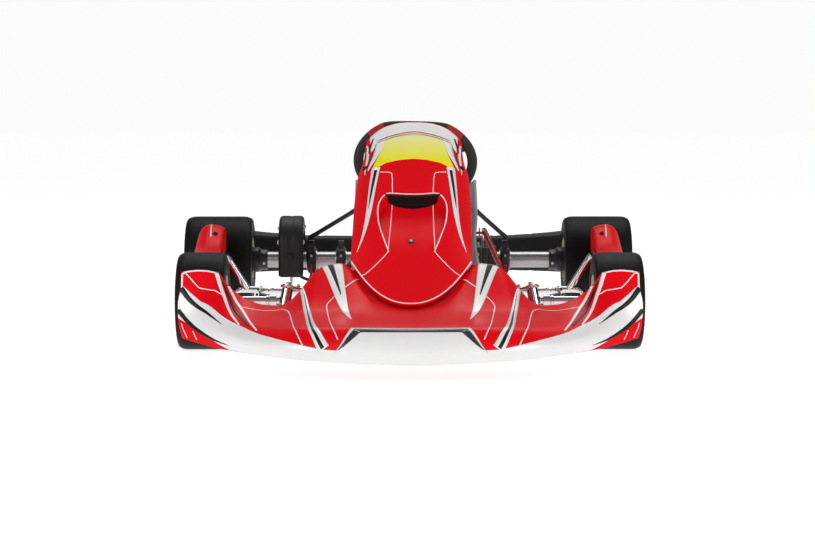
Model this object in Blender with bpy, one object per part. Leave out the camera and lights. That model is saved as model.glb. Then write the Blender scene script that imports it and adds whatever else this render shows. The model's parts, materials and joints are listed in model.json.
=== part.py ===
# Racing go kart, rolling chassis: tube frame, bodywork, seat, steering, brake and four wheels.
# Metres. +Z up, the kart faces -Y, its left side is +X. The origin is on the floor,
# at the middle of the overall length and width.
import math

import bmesh
import bpy
from mathutils import Matrix, Vector

# ---------------------------------------------------------------- driving dimensions
WHEELBASE = 1.045
FRONT_OVERHANG = 0.600          # nose tip ahead of the front axle
REAR_OVERHANG = 0.290           # rear bumper behind the rear axle

FRONT_TYRE_R = 0.1285
FRONT_TYRE_W = 0.1300
FRONT_HALF_WIDTH = 0.6130       # to the outer face of the front tyre
REAR_TYRE_R = 0.1350
REAR_TYRE_W = 0.2080
REAR_HALF_WIDTH = 0.6920
TYRE_SIDES = 32
RIM_SIDES = 16

BEAD_R = 0.0632                 # five inch rims
FLANGE_R = 0.0700
RIM_WELL_R = 0.0580
RIM_WALL = 0.0045
RIM_INSET = 0.0015              # rim flange inside the tyre's sidewall
HUB_BARREL_R = 0.0220
BEARING_CLEAR = 0.0005          # running gap round spindles and the axle

AXLE_R = 0.0250
AXLE_BORE_R = 0.0220
REAR_DISC_X = REAR_HALF_WIDTH - 0.1570
AXLE_HALF_LENGTH = REAR_DISC_X - 0.0150

RAIL_R = 0.0150
RAIL_Z = 0.0650
RAIL_X = 0.3020                 # main rails, seat to rear axle
GAP = 0.0003                    # between pieces that touch

KINGPIN_X = 0.3300
KINGPIN_TILT = math.radians(11)  # top leans inwards
CASTER = math.radians(12)        # top leans back
KINGPIN_R = 0.0050
SPINDLE_R = 0.0125
ARM_OUT = 0.4000                # tie rod joint on the steering arm
ARM_BACK = 0.0750
ARM_Z = FRONT_TYRE_R + 0.0215

COLUMN_ANGLE = math.radians(43)  # above horizontal
COLUMN_R = 0.0100
COLUMN_FOOT = Vector((0.0, -0.030, 0.092))   # from the front axle line on the floor
COLUMN_LEAN = 0.0305            # sideways, per unit of length
COLUMN_LENGTH = 0.5350
PITMAN_AT = 0.1100              # along the column
PITMAN_R = 0.0420
PITMAN_HALF = 0.0220            # half the distance between the two inner joints
STEERING_WHEEL_R = 0.1600
STEERING_RIM_R = 0.0140

SEAT_OFFSET = 0.0220            # the seat sits off centre
SEAT_HALF_WIDTH = 0.1830
STAY_R = 0.0070
SHELL = 0.0035                  # moulded bodywork and seat

DISC_R = 0.1000
DISC_X = 0.2370
DISC_T = 0.0120
SPROCKET_R = 0.0860
SPROCKET_X = -0.3650
BEARING_X = {"left": RAIL_X, "middle": -0.2100, "right": -RAIL_X}

FRONT_Y = -(WHEELBASE + REAR_OVERHANG - FRONT_OVERHANG) / 2
REAR_Y = FRONT_Y + WHEELBASE
AXLE_Z = REAR_TYRE_R
X, Y, Z = Vector((1, 0, 0)), Vector((0, 1, 0)), Vector((0, 0, 1))
SIDES = {"left": 1, "right": -1}


def at_front(x, y, z):
    """A point given from the front axle line."""
    return Vector((x, FRONT_Y + y, z))


def at_rear(x, y, z):
    """A point given from the rear axle's centre line."""
    return Vector((x, REAR_Y + y, AXLE_Z + z))


# ---------------------------------------------------------------- shape helpers
def grid_faces(bm, rings, wrap, cap):
    """Skins a list of rings of vertices; wrap closes each ring, cap closes the two ends."""
    count = len(rings[0])
    for a, b in zip(rings, rings[1:]):
        for i in range(count if wrap else count - 1):
            j = (i + 1) % count
            bm.faces.new((a[i], a[j], b[j], b[i]))
    if cap:
        bm.faces.new(rings[0][::-1])
        bm.faces.new(rings[-1])


def loft(sections, wrap=True, cap=True, closed_path=False):
    bm = bmesh.new()
    rings = [[bm.verts.new(p) for p in section] for section in sections]
    if closed_path:
        rings.append(rings[0])
    grid_faces(bm, rings, wrap, cap and not closed_path)
    bmesh.ops.recalc_face_normals(bm, faces=bm.faces)
    return bm


def rounded_path(points, bend, steps=3):
    """The polyline with each corner turned into an arc of about the bend radius."""
    points = [Vector(p) for p in points]
    path = [points[0]]
    for before, corner, after in zip(points, points[1:], points[2:]):
        u, v = (before - corner), (after - corner)
        turn = math.pi - u.angle(v)
        if turn < math.radians(4):
            path.append(corner)
            continue
        cut = min(bend * math.tan(turn / 2), 0.45 * u.length, 0.45 * v.length)
        start, end = corner + u.normalized() * cut, corner + v.normalized() * cut
        for i in range(steps + 1):
            t = i / steps
            path.append(start.lerp(corner, t).lerp(corner.lerp(end, t), t))
    path.append(points[-1])
    return path


def ring_at(centre, normal, radius, sides, up):
    side = normal.cross(up).normalized()
    over = side.cross(normal).normalized()
    angles = [2 * math.pi * (i + 0.5) / sides for i in range(sides)]
    return [centre + radius * (math.cos(a) * side + math.sin(a) * over) for a in angles]


def tube(points, radius, sides=10, bend=0.0, up=Z, closed=False):
    """A solid round bar along the points, with bent corners."""
    path = rounded_path(points, bend) if bend else [Vector(p) for p in points]
    count = len(path)
    sections = []
    for i, p in enumerate(path):
        if closed:
            ahead, behind = path[(i + 1) % count], path[i - 1]
        else:
            ahead, behind = path[min(i + 1, count - 1)], path[max(i - 1, 0)]
        tangent = (ahead - behind).normalized()
        stretch = 1.0
        if 0 < i < count - 1 or closed:
            half = (ahead - p).angle(p - behind) / 2
            stretch = 1 / math.cos(half)
        ring = ring_at(p, tangent, radius, sides, up)
        if stretch > 1.0001:
            bend_dir = ((ahead - p).normalized() - (p - behind).normalized()).normalized()
            ring = [q + bend_dir * (q - p).dot(bend_dir) * (stretch - 1) for q in ring]
        sections.append(ring)
    return loft(sections, closed_path=closed)


def turned(profile, centre, axis=X, sides=24):
    """A closed (along, radius) outline turned about the axis; a radius of 0 is a pole.
    The flats lie at the radius given, on a bore as on an outside."""
    bm = bmesh.new()
    up = Z if abs(axis.normalized().dot(Z)) < 0.9 else Y
    fit = 1 / math.cos(math.pi / sides)
    rings = []
    for along, radius in profile:
        middle = Vector(centre) + axis.normalized() * along
        if radius < 1e-6:
            rings.append([bm.verts.new(middle)])
            continue
        ring = ring_at(middle, axis.normalized(), radius * fit, sides, up)
        rings.append([bm.verts.new(p) for p in ring])
    solid = len(rings[0]) == 1
    pairs = list(zip(rings, rings[1:]))
    if not solid:
        pairs.append((rings[-1], rings[0]))
    for a, b in pairs:
        for i in range(sides):
            j = (i + 1) % sides
            if len(a) == 1:
                bm.faces.new((a[0], b[j], b[i]))
            elif len(b) == 1:
                bm.faces.new((a[i], a[j], b[0]))
            else:
                bm.faces.new((a[i], a[j], b[j], b[i]))
    bmesh.ops.recalc_face_normals(bm, faces=bm.faces)
    return bm


def bar(a, b, radius, sides=16):
    """A plain round bar from a to b."""
    a, b = Vector(a), Vector(b)
    length = (b - a).length
    return turned([(0, 0), (0, radius), (length, radius), (length, 0)], a, b - a, sides)


def block(low, high, bevel=0.0):
    bm = bmesh.new()
    bmesh.ops.create_cube(bm, size=1.0)
    low, high = Vector(low), Vector(high)
    for v in bm.verts:
        v.co = Vector(l + (c + 0.5) * (h - l) for c, l, h in zip(v.co, low, high))
    if bevel:
        bmesh.ops.bevel(bm, geom=bm.edges[:], offset=bevel, segments=1, affect='EDGES')
    return bm


def prism(outline, x_low, x_high):
    """An outline in (y, z) pulled along X."""
    return loft([[Vector((x, y, z)) for y, z in outline] for x in (x_low, x_high)])


def moved(bm, matrix):
    bmesh.ops.transform(bm, matrix=matrix, verts=bm.verts)
    return bm


def temporary(bm):
    mesh = bpy.data.meshes.new("temporary")
    bm.to_mesh(mesh)
    bm.free()
    piece = bpy.data.objects.new("temporary", mesh)
    bpy.context.scene.collection.objects.link(piece)
    return piece


def evaluated(piece):
    """The piece's mesh with its modifiers applied, as a bmesh; the piece is removed."""
    bpy.context.view_layer.update()
    mesh = piece.evaluated_get(bpy.context.evaluated_depsgraph_get()).to_mesh()
    bm = bmesh.new()
    bm.from_mesh(mesh)
    bpy.data.objects.remove(piece)
    return bm


def combined(first, others, operation):
    piece = temporary(first)
    cutters = []
    for other in others:
        cutter = temporary(other)
        cutters.append(cutter)
        modifier = piece.modifiers.new("combine", 'BOOLEAN')
        modifier.operation = operation
        modifier.solver = 'EXACT'
        modifier.object = cutter
    bm = evaluated(piece)
    for cutter in cutters:
        bpy.data.objects.remove(cutter)
    bmesh.ops.dissolve_degenerate(bm, dist=1e-6, edges=bm.edges)
    return bm


def union(first, *others):
    return combined(first, others, 'UNION')


def cut(first, *others):
    return combined(first, others, 'DIFFERENCE')


def thickened(bm, thickness, offset=-1.0):
    """An open skin given a wall; offset -1 puts the wall behind the faces."""
    piece = temporary(bm)
    modifier = piece.modifiers.new("wall", 'SOLIDIFY')
    modifier.thickness = thickness
    modifier.offset = offset
    modifier.use_even_offset = True
    modifier.thickness_clamp = 0.0
    return evaluated(piece)


def curve_value(points, x):
    """A smooth curve through points whose first number is x; returns the other numbers."""
    last = len(points) - 1
    k = max(i for i in range(last) if i == 0 or points[i][0] <= x)

    def rate(i, n):
        return (points[i + 1][n] - points[i][n]) / (points[i + 1][0] - points[i][0])

    def slope(i, n):
        if i in (0, last):
            return rate(min(i, last - 1), n)
        before, after = rate(i - 1, n), rate(i, n)
        return 2 * before * after / (before + after) if before * after > 0 else 0.0

    span = points[k + 1][0] - points[k][0]
    t = min(max((x - points[k][0]) / span, 0.0), 1.0)
    values = []
    for n in range(1, len(points[0])):
        a, b = points[k][n], points[k + 1][n]
        values.append(a * (1 + 2 * t) * (1 - t) ** 2 + b * t * t * (3 - 2 * t)
                      + span * (slope(k, n) * t * (1 - t) ** 2 - slope(k + 1, n) * t * t * (1 - t)))
    return values


# ---------------------------------------------------------------- objects and materials
PAINTS = {}


def paint(name, colour, roughness, metallic=0.0):
    material = bpy.data.materials.new(name)
    material.use_nodes = True
    shader = material.node_tree.nodes["Principled BSDF"]
    shader.inputs["Base Color"].default_value = (*colour, 1.0)
    shader.inputs["Roughness"].default_value = roughness
    shader.inputs["Metallic"].default_value = metallic
    PAINTS[name] = material


def make_paints():
    paint("frame_red", (0.45, 0.02, 0.03), 0.35)
    paint("body_red", (0.72, 0.02, 0.03), 0.25)
    paint("seat_grey", (0.42, 0.43, 0.44), 0.40)
    paint("chrome", (0.85, 0.85, 0.86), 0.12, 1.0)
    paint("steel", (0.50, 0.50, 0.52), 0.35, 1.0)
    paint("aluminium", (0.62, 0.63, 0.65), 0.35, 1.0)
    paint("black_plastic", (0.02, 0.02, 0.022), 0.45)
    paint("black_metal", (0.03, 0.03, 0.035), 0.35, 0.6)
    paint("tyre_rubber", (0.018, 0.018, 0.02), 0.75)
    paint("magnesium", (0.32, 0.28, 0.20), 0.40, 0.9)
    paint("tank_white", (0.78, 0.78, 0.72), 0.40)


def pivot(name, place, parent=None):
    """An empty on a joint's axis, which carries the pieces that turn there."""
    empty = bpy.data.objects.new(name, None)
    bpy.context.scene.collection.objects.link(empty)
    empty.location = place - (parent["place"] if parent else Vector())
    empty.parent = parent["empty"] if parent else None
    return {"empty": empty, "place": place}


def node(name, bm, material, carrier=None):
    """A named piece; its origin is its carrier's pivot, or the frame's origin."""
    bmesh.ops.triangulate(bm, faces=[f for f in bm.faces if len(f.verts) > 4])
    bmesh.ops.remove_doubles(bm, verts=bm.verts, dist=1e-6)
    if carrier:
        moved(bm, Matrix.Translation(-carrier["place"]))
    mesh = bpy.data.meshes.new(name)
    bm.to_mesh(mesh)
    bm.free()
    mesh.materials.append(PAINTS[material])
    mesh.shade_smooth()
    mesh.set_sharp_from_angle(angle=math.radians(32))
    piece = bpy.data.objects.new(name, mesh)
    bpy.context.scene.collection.objects.link(piece)
    if carrier:
        piece.parent = carrier["empty"]
    return piece


# ---------------------------------------------------------------- frames of the steering
def kingpin_axis(side):
    return Vector((-side * math.tan(KINGPIN_TILT), math.tan(CASTER), 1.0)).normalized()


def kingpin_frame(side):
    """Turns local Z onto the kingpin and keeps local X pointing outwards."""
    z = kingpin_axis(side)
    x = (X * side - z * (X * side).dot(z)).normalized()
    y = z.cross(x)
    centre = at_front(side * KINGPIN_X, 0, FRONT_TYRE_R)
    turn = Matrix((x, y, z)).transposed().to_4x4()
    return Matrix.Translation(centre) @ turn


COLUMN_DIR = Vector((COLUMN_LEAN, math.cos(COLUMN_ANGLE), math.sin(COLUMN_ANGLE))).normalized()
COLUMN_DOWN = COLUMN_DIR.cross(X).normalized()   # across the column, down and back


def on_column(along):
    return at_front(*COLUMN_FOOT) + COLUMN_DIR * along


def column_frame(along):
    """The driver's view of the wheel: local X to the right, Y up, Z along the column."""
    z = COLUMN_DIR
    x = (z * X.dot(z) - X).normalized()
    y = z.cross(x)
    return Matrix.Translation(on_column(along)) @ Matrix((x, y, z)).transposed().to_4x4()


# ---------------------------------------------------------------- chassis
FRONT_LOOP_Y = -0.215
FRONT_LOOP_X = 0.165
REAR_CROSS_Y = WHEELBASE - 0.145
TAIL_CROSS_Y = WHEELBASE + DISC_R + 0.015
MID_CROSS_Y = 0.360
YOKE_HALF = 0.0340              # half the height between the yoke's two plates
YOKE_T = 0.0060
YOKE_BACK = -0.0400             # the yoke's upright, from the kingpin
COLLAR_R = 0.0180
CRADLE_R = 0.0440               # bearing carriers lie in half-round cradles


def yoke(side):
    """The C bracket that holds a kingpin, square to the kingpin."""
    half_width = 0.020
    foot = RAIL_Z - FRONT_TYRE_R - 0.0045
    upright = block((YOKE_BACK - 0.004, -half_width, foot),
                    (YOKE_BACK + 0.004, half_width, YOKE_HALF + YOKE_T))
    top = block((YOKE_BACK, -half_width, YOKE_HALF), (0.020, half_width, YOKE_HALF + YOKE_T))
    low = block((YOKE_BACK, -half_width, -YOKE_HALF - YOKE_T), (0.020, half_width, -YOKE_HALF))
    return [moved(piece, kingpin_frame(side)) for piece in (upright, top, low)]


def cradle(x):
    """The plate under a rear axle bearing, with its half-round seat cut out."""
    low, high, half = RAIL_Z, AXLE_Z - 0.008, 0.070
    plate = block((x - 0.004, REAR_Y - half, low), (x + 0.004, REAR_Y + half, high))
    seat_cut = bar(at_rear(x - 0.01, 0, 0), at_rear(x + 0.01, 0, 0), CRADLE_R + GAP, 28)
    return cut(plate, seat_cut)


def make_chassis():
    z = RAIL_Z
    half = [(RAIL_X, TAIL_CROSS_Y, z), (RAIL_X, WHEELBASE - 0.245, z), (RAIL_X - 0.002, 0.22, z),
            (0.235, -0.06, z), (FRONT_LOOP_X, FRONT_LOOP_Y, z)]
    rails = [at_front(*p) for p in half] + [at_front(-p[0], p[1], p[2]) for p in half[::-1]]
    pieces = []
    yoke_x = KINGPIN_X + YOKE_BACK + 0.010
    middle_x = BEARING_X["middle"]
    pieces.append(tube([at_front(-yoke_x, 0, z), at_front(yoke_x, 0, z)], 0.014))
    pieces.append(tube([at_front(-RAIL_X, MID_CROSS_Y, z), at_front(RAIL_X, MID_CROSS_Y, z)], 0.014))
    pieces.append(tube([at_front(-RAIL_X, REAR_CROSS_Y, z), at_front(RAIL_X, REAR_CROSS_Y, z)], 0.014))
    pieces.append(tube([at_front(-RAIL_X, TAIL_CROSS_Y, z), at_front(RAIL_X, TAIL_CROSS_Y, z)], 0.0145))
    pieces.append(tube([at_front(middle_x, REAR_CROSS_Y, z), at_front(middle_x, TAIL_CROSS_Y, z)], 0.013))
    for x in BEARING_X.values():
        pieces.append(cradle(x))
    for side in SIDES.values():
        pieces += yoke(side)
    collar = bar(on_column(0.008), on_column(0.032), COLLAR_R)
    pieces.append(collar)
    post_top = on_column(0.020) + COLUMN_DOWN * 0.0145
    pieces.append(bar(at_front(0, 0, z), post_top, 0.009, 10))
    y, seat_edge = WHEELBASE - 0.295, SEAT_OFFSET + SEAT_HALF_WIDTH + 0.021
    seat_bar = [(RAIL_X, y, z), (RAIL_X - 0.030, y, 0.150), (seat_edge, y, 0.252)]
    pieces.append(tube([at_front(*p) for p in seat_bar], 0.0085, 8, bend=0.05, up=Y))
    frame = union(tube(rails, RAIL_R, 10, bend=0.10), *pieces)
    bores = [bar(on_column(-0.03), on_column(0.05), COLUMN_R + BEARING_CLEAR, 16)]
    for side in SIDES.values():
        pin_axis = kingpin_axis(side)
        centre = at_front(side * KINGPIN_X, 0, FRONT_TYRE_R)
        bores.append(bar(centre - pin_axis * 0.06, centre + pin_axis * 0.06, KINGPIN_R + GAP, 12))
    node("chassis_frame", cut(frame, *bores), "frame_red")


def make_floor_tray():
    top, under = RAIL_Z - RAIL_R - GAP, RAIL_Z - RAIL_R - 0.0030
    half = [(0.150, -0.228), (0.232, -0.040), (RAIL_X - 0.010, 0.220), (RAIL_X - 0.010, 0.395)]
    outline = half + [(-x, y) for x, y in half[::-1]]
    sections = [[at_front(x, y, z) for x, y in outline] for z in (under, top)]
    node("floor_tray", loft(sections), "aluminium")


# ---------------------------------------------------------------- front end
BUMPER_X = 0.130
BUMPER_LOW_Z = 0.065
BUMPER_HIGH_Z = 0.122


def make_front_bumper():
    start = FRONT_LOOP_Y - RAIL_R - 2 * GAP
    def loop(z, y_back):
        path = [(-BUMPER_X, y_back, z), (-BUMPER_X, -0.430, z), (BUMPER_X, -0.430, z),
                (BUMPER_X, y_back, z)]
        return tube([at_front(*p) for p in path], 0.010, 8, bend=0.06)
    posts = [bar(at_front(s * BUMPER_X, -0.30, BUMPER_LOW_Z), at_front(s * BUMPER_X, -0.30, BUMPER_HIGH_Z),
                 0.008, 8) for s in SIDES.values()]
    node("front_bumper", union(loop(BUMPER_LOW_Z, start), loop(BUMPER_HIGH_Z, -0.270), *posts), "steel")


# Guide lines of the nose, on its left half: (x, y, z), y from the front axle.
NOSE_LINES = [
    [(0, -0.600, 0.044), (0.130, -0.590, 0.047), (0.259, -0.560, 0.050), (0.393, -0.480, 0.054),
     (0.473, -0.400, 0.055), (0.530, -0.346, 0.060), (0.588, -0.300, 0.069)],
    [(0, -0.596, 0.076), (0.130, -0.586, 0.078), (0.259, -0.554, 0.080), (0.393, -0.472, 0.084),
     (0.473, -0.388, 0.092), (0.530, -0.334, 0.100), (0.588, -0.294, 0.104)],
    [(0, -0.560, 0.125), (0.130, -0.553, 0.125), (0.240, -0.522, 0.121), (0.363, -0.440, 0.115),
     (0.440, -0.366, 0.124), (0.520, -0.308, 0.150), (0.588, -0.284, 0.152)],
    [(0, -0.430, 0.141), (0.130, -0.410, 0.146), (0.240, -0.380, 0.146), (0.340, -0.350, 0.134),
     (0.440, -0.306, 0.152), (0.500, -0.280, 0.194), (0.588, -0.272, 0.198)],
    [(0, -0.322, 0.147), (0.075, -0.290, 0.162), (0.145, -0.218, 0.230), (0.180, -0.214, 0.250),
     (0.216, -0.220, 0.2465), (0.245, -0.232, 0.231), (0.265, -0.242, 0.208), (0.292, -0.256, 0.176),
     (0.315, -0.264, 0.156), (0.341, -0.268, 0.149), (0.378, -0.268, 0.151), (0.409, -0.266, 0.160),
     (0.444, -0.264, 0.179), (0.472, -0.262, 0.203), (0.490, -0.262, 0.229), (0.540, -0.262, 0.238),
     (0.588, -0.262, 0.234)],
]
NOSE_HALF_WIDTH = [(0, 0.574), (1, 0.583), (2, 0.586), (3, 0.579), (4, 0.579)]
NOSE_LINE_END = 0.588           # where the guide lines end
NOSE_BACK_Y = -0.262            # only what lies ahead of this grows with the overhang


def nose_point(x, row):
    """The nose's outer skin; row runs from 0 at the lower lip to 4 at the rear edge."""
    side = 1 if x >= 0 else -1
    guides = [(i, *curve_value(line, abs(x))) for i, line in enumerate(NOSE_LINES)]
    y, z = curve_value(guides, row)
    y = NOSE_BACK_Y + (y - NOSE_BACK_Y) * (FRONT_OVERHANG + NOSE_BACK_Y) / (0.600 + NOSE_BACK_Y)
    (half,) = curve_value(NOSE_HALF_WIDTH, row)
    return at_front(side * abs(x) * half / NOSE_LINE_END, y, z)


def make_nose():
    half = [0, 0.04, 0.08, 0.115, 0.145, 0.18, 0.216, 0.245, 0.265, 0.292, 0.315, 0.345, 0.38, 0.41,
            0.444, 0.472, 0.490, 0.52, 0.56, NOSE_LINE_END]
    columns = [-x for x in half[:0:-1]] + half
    rows = [i / 2 for i in range(9)]
    bm = loft([[nose_point(x, row) for row in rows] for x in columns], wrap=False, cap=False)
    face = max(bm.faces, key=lambda f: -f.calc_center_median().y)
    if face.normal.y > 0:
        bmesh.ops.reverse_faces(bm, faces=bm.faces)
    node("nose_fairing", thickened(bm, SHELL), "body_red")


# The panel's middle line from its lower arc to its top: (share of the way up, x, y, z).
PANEL_MIDDLE = [(0.0, 0.000, -0.338, 0.157), (0.28, 0.003, -0.205, 0.266), (0.60, 0.007, -0.050, 0.412),
                (0.82, 0.010, 0.055, 0.510), (1.0, 0.012, 0.130, 0.597)]
PANEL_HALF_WIDTH = [(0.0, 0.160), (0.25, 0.156), (0.60, 0.154), (0.76, 0.148), (0.86, 0.134), (0.94, 0.128),
                    (1.0, 0.118)]
PANEL_WRAP = [(0.0, 0.000), (0.25, 0.010), (0.60, 0.050), (0.85, 0.050), (1.0, 0.030)]
PANEL_ARC = 0.27                # how far up the lower corners are
PANEL_CROWN = 0.050             # how far down the upper corners are


def panel_point(u, v):
    """The front panel's outer skin; u from -1 to 1 across, v from 0 to 1 upwards."""
    low = PANEL_ARC * abs(u) ** 2.2
    high = 1 - PANEL_CROWN * abs(u) ** 2.5
    way = low + (high - low) * v
    x, y, z = curve_value(PANEL_MIDDLE, way)
    (half,) = curve_value(PANEL_HALF_WIDTH, way)
    (wrap,) = curve_value(PANEL_WRAP, way)
    back = wrap * (0.25 * u * u + 0.75 * abs(u) ** 5)
    lean = math.radians(45)
    return at_front(x + half * u, y + back * math.sin(lean), z - back * math.cos(lean))


def make_front_panel():
    across = [-1, -0.92, -0.82, -0.68, -0.45, -0.2, 0.2, 0.45, 0.68, 0.82, 0.92, 1]
    upwards = [i / 11 for i in range(12)]
    bm = loft([[panel_point(u, v) for u in across] for v in upwards], wrap=False, cap=False)
    face = bm.faces[:][0]
    if face.normal.y > 0:
        bmesh.ops.reverse_faces(bm, faces=bm.faces)
    node("front_panel", thickened(bm, SHELL), "body_red")


def make_pedals():
    foot_z = RAIL_Z + RAIL_R + 2 * GAP
    for name, side in (("brake_pedal", 1), ("accelerator_pedal", -1)):
        path = [(side * 0.095, FRONT_LOOP_Y, foot_z), (side * 0.095, -0.185, 0.205),
                (side * 0.165, -0.185, 0.205)]
        rod = tube([at_front(*p) for p in path], 0.005, 8, bend=0.015, up=Y)
        y = FRONT_Y + FRONT_LOOP_Y
        x = side * 0.095
        foot = block((x - 0.012, y - 0.010, foot_z), (x + 0.012, y + 0.010, foot_z + 0.02))
        node(name, union(rod, foot), "steel")


def make_master_cylinder():
    z = RAIL_Z + RAIL_R + 0.016
    body = bar(at_front(0.192, -0.125, z), at_front(0.192, -0.040, z), 0.014)
    pot = bar(at_front(0.192, -0.075, z), at_front(0.192, -0.075, z + 0.042), 0.012)
    node("brake_master_cylinder", union(body, pot), "black_metal")


# ---------------------------------------------------------------- sides
BAR_R = 0.0100
BAR_FRONT_Y = 0.310
BAR_BACK_Y = WHEELBASE - 0.245
BAR_OUT_X = 0.5200


def make_side_bar(name, side):
    inner = RAIL_X + RAIL_R + 2 * GAP
    low = RAIL_Z + 0.004
    lower = [(inner, BAR_FRONT_Y, RAIL_Z), (BAR_OUT_X, BAR_FRONT_Y, low), (BAR_OUT_X, BAR_BACK_Y, low),
             (inner, BAR_BACK_Y, RAIL_Z)]
    upper = [(BAR_OUT_X - 0.035, BAR_FRONT_Y, low), (0.550, BAR_FRONT_Y + 0.015, 0.142),
             (0.556, BAR_BACK_Y - 0.010, 0.182), (BAR_OUT_X - 0.035, BAR_BACK_Y, low)]
    bars = [tube([at_front(side * x, y, z) for x, y, z in path], BAR_R, 8, bend=0.03, up=Z + Y * 0.01)
            for path in (lower, upper)]
    node("side_bar_" + name, union(*bars), "chrome")


POD_FRONT_Y = 0.275
POD_BACK_Y = WHEELBASE - REAR_TYRE_R - 0.025
# Along the pod: (share of its length, top z, outer x).
POD_LINE = [(0.0, 0.168, 0.590), (0.074, 0.178, 0.622), (0.287, 0.188, 0.646), (0.566, 0.195, 0.652),
            (0.697, 0.206, 0.652), (0.828, 0.238, 0.651), (0.926, 0.262, 0.650), (1.0, 0.256, 0.642)]


def pod_section(side, share):
    top, outer = curve_value(POD_LINE, share)
    y = POD_FRONT_Y + (POD_BACK_Y - POD_FRONT_Y) * share
    points = [(0.550, top - 0.008), (0.573, top), (outer - 0.026, top), (outer - 0.006, top - 0.028),
              (outer, 0.135), (outer - 0.002, 0.095), (outer - 0.018, 0.062), (0.560, 0.052)]
    return [at_front(side * x, y, z) for x, z in points]


def make_side_pod(name, side):
    shares = [0, 0.04, 0.11, 0.24, 0.43, 0.60, 0.70, 0.76, 0.83, 0.89, 0.96, 1]
    sections = [pod_section(side, share) for share in shares]
    bm = loft(sections, wrap=False, cap=False)
    for end in (0, -1):
        ring = [v for p in sections[end] for v in bm.verts if (v.co - p).length < 1e-6]
        bm.faces.new(ring if end else ring[::-1])
    bmesh.ops.recalc_face_normals(bm, faces=bm.faces)
    outermost = max(bm.faces, key=lambda f: side * f.calc_center_median().x)
    if outermost.normal.x * side < 0:
        bmesh.ops.reverse_faces(bm, faces=bm.faces)
    node("side_pod_" + name, thickened(bm, SHELL), "body_red")


# ---------------------------------------------------------------- seat
# The seat's middle line, y from the rear axle:
# (share of the way, y, z, half width share, height of the sides).
SEAT_LINE = [(0.0, -0.620, 0.150, 1.06, 0.030), (0.15, -0.555, 0.096, 1.04, 0.085),
             (0.32, -0.445, 0.062, 1.00, 0.105), (0.48, -0.335, 0.074, 0.98, 0.125),
             (0.62, -0.255, 0.150, 0.96, 0.150), (0.80, -0.199, 0.258, 0.99, 0.125),
             (1.0, -0.160, 0.376, 0.98, 0.070)]


def seat_point(u, v):
    """The seat's outer skin; u from -1 to 1 across, v from the front lip to the top."""
    y, z, width, height = curve_value(SEAT_LINE, v)
    ahead = curve_value(SEAT_LINE, min(v + 0.02, 1.0))
    behind = curve_value(SEAT_LINE, max(v - 0.02, 0.0))
    along = Vector((0, ahead[0] - behind[0], ahead[1] - behind[1])).normalized()
    inwards = along.cross(X) * -1
    angle = abs(u) * math.pi / 2
    out = math.sin(angle) ** 0.75
    rise = (1 - math.cos(angle)) ** 1.3
    x = SEAT_OFFSET + math.copysign(SEAT_HALF_WIDTH * width * out, u)
    return Vector((x, REAR_Y + y, z)) + inwards * height * rise


def make_seat():
    across = [-1 + i / 7 for i in range(15)]
    along = [i / 13 for i in range(14)]
    bm = loft([[seat_point(u, v) for u in across] for v in along], wrap=False, cap=False)
    lowest = min(bm.faces, key=lambda f: f.calc_center_median().z)
    if lowest.normal.z > 0:
        bmesh.ops.reverse_faces(bm, faces=bm.faces)
    node("seat", thickened(bm, SHELL), "seat_grey")


def make_seat_stays():
    """Rods from the seat's shoulders down to the ears of the outer bearing carriers."""
    for name, side in SIDES.items():
        outwards = Vector((side * 0.62, 0.75, -0.22)).normalized()
        top = seat_point(side * 0.76, 0.86) + outwards * (STAY_R + 4 * GAP)
        foot = at_rear(BEARING_X[name] + side * 0.004, -0.008, EAR_TOP + STAY_R + 0.0030)
        node("seat_stay_" + name, bar(top, foot, STAY_R, 10), "black_metal")


def make_fuel_tank():
    low = RAIL_Z - RAIL_R + GAP
    def section(y, top, half):
        corners = [(half - 0.02, low), (half, low + 0.02), (half, top - 0.02), (half - 0.02, top)]
        return [at_front(x, y, z) for x, z in corners + [(-x, z) for x, z in corners[::-1]]]
    sections = [section(0.130, 0.150, 0.095), section(0.145, 0.175, 0.110), section(0.180, 0.200, 0.112),
                section(0.285, 0.200, 0.112), section(0.305, 0.185, 0.100)]
    node("fuel_tank", loft(sections), "tank_white")


# ---------------------------------------------------------------- rear end
EAR_TOP = 0.060                 # top of a bearing carrier's ear, above the axle


def make_bearing(name, x):
    ring = [(-0.015, AXLE_R + BEARING_CLEAR), (-0.015, 0.036), (-0.011, CRADLE_R - 0.0015),
            (0.011, CRADLE_R - 0.0015), (0.015, 0.036), (0.015, AXLE_R + BEARING_CLEAR)]
    carrier = turned(ring, at_rear(x, 0, 0), X, 24)
    ear = block(at_rear(x - 0.009, -0.020, 0.034), at_rear(x + 0.009, 0.016, EAR_TOP))
    node("rear_bearing_" + name, union(carrier, ear), "black_metal")


GUARD_X = (SPROCKET_X - 0.042, SPROCKET_X + 0.045)


def make_chain_guard():
    arch = [(0.105, 0.030), (0.050, 0.030), (0.034, 0.044), (0.0, 0.053), (-0.034, 0.044),
            (-0.052, 0.030), (-0.062, -0.046)]
    outer = [(-0.095, -0.046), (-0.095, 0.050), (-0.083, 0.092), (-0.052, 0.124), (-0.010, 0.139),
             (0.040, 0.134), (0.080, 0.108), (0.100, 0.070)]
    wall = 0.003
    shrink = [(y + wall if y < 0 else y - wall, z - wall if z > 0.08 else z) for y, z in outer[1:]]
    inner = [(-0.092, -0.080)] + shrink + [(0.102, -0.080)]
    place = [(REAR_Y + y, AXLE_Z + z) for y, z in outer + arch]
    hollow = [(REAR_Y + y, AXLE_Z + z) for y, z in inner]
    shell = cut(prism(place, *GUARD_X), prism(hollow, GUARD_X[0] + wall, GUARD_X[1] - wall))
    node("chain_guard", shell, "black_plastic")


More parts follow.
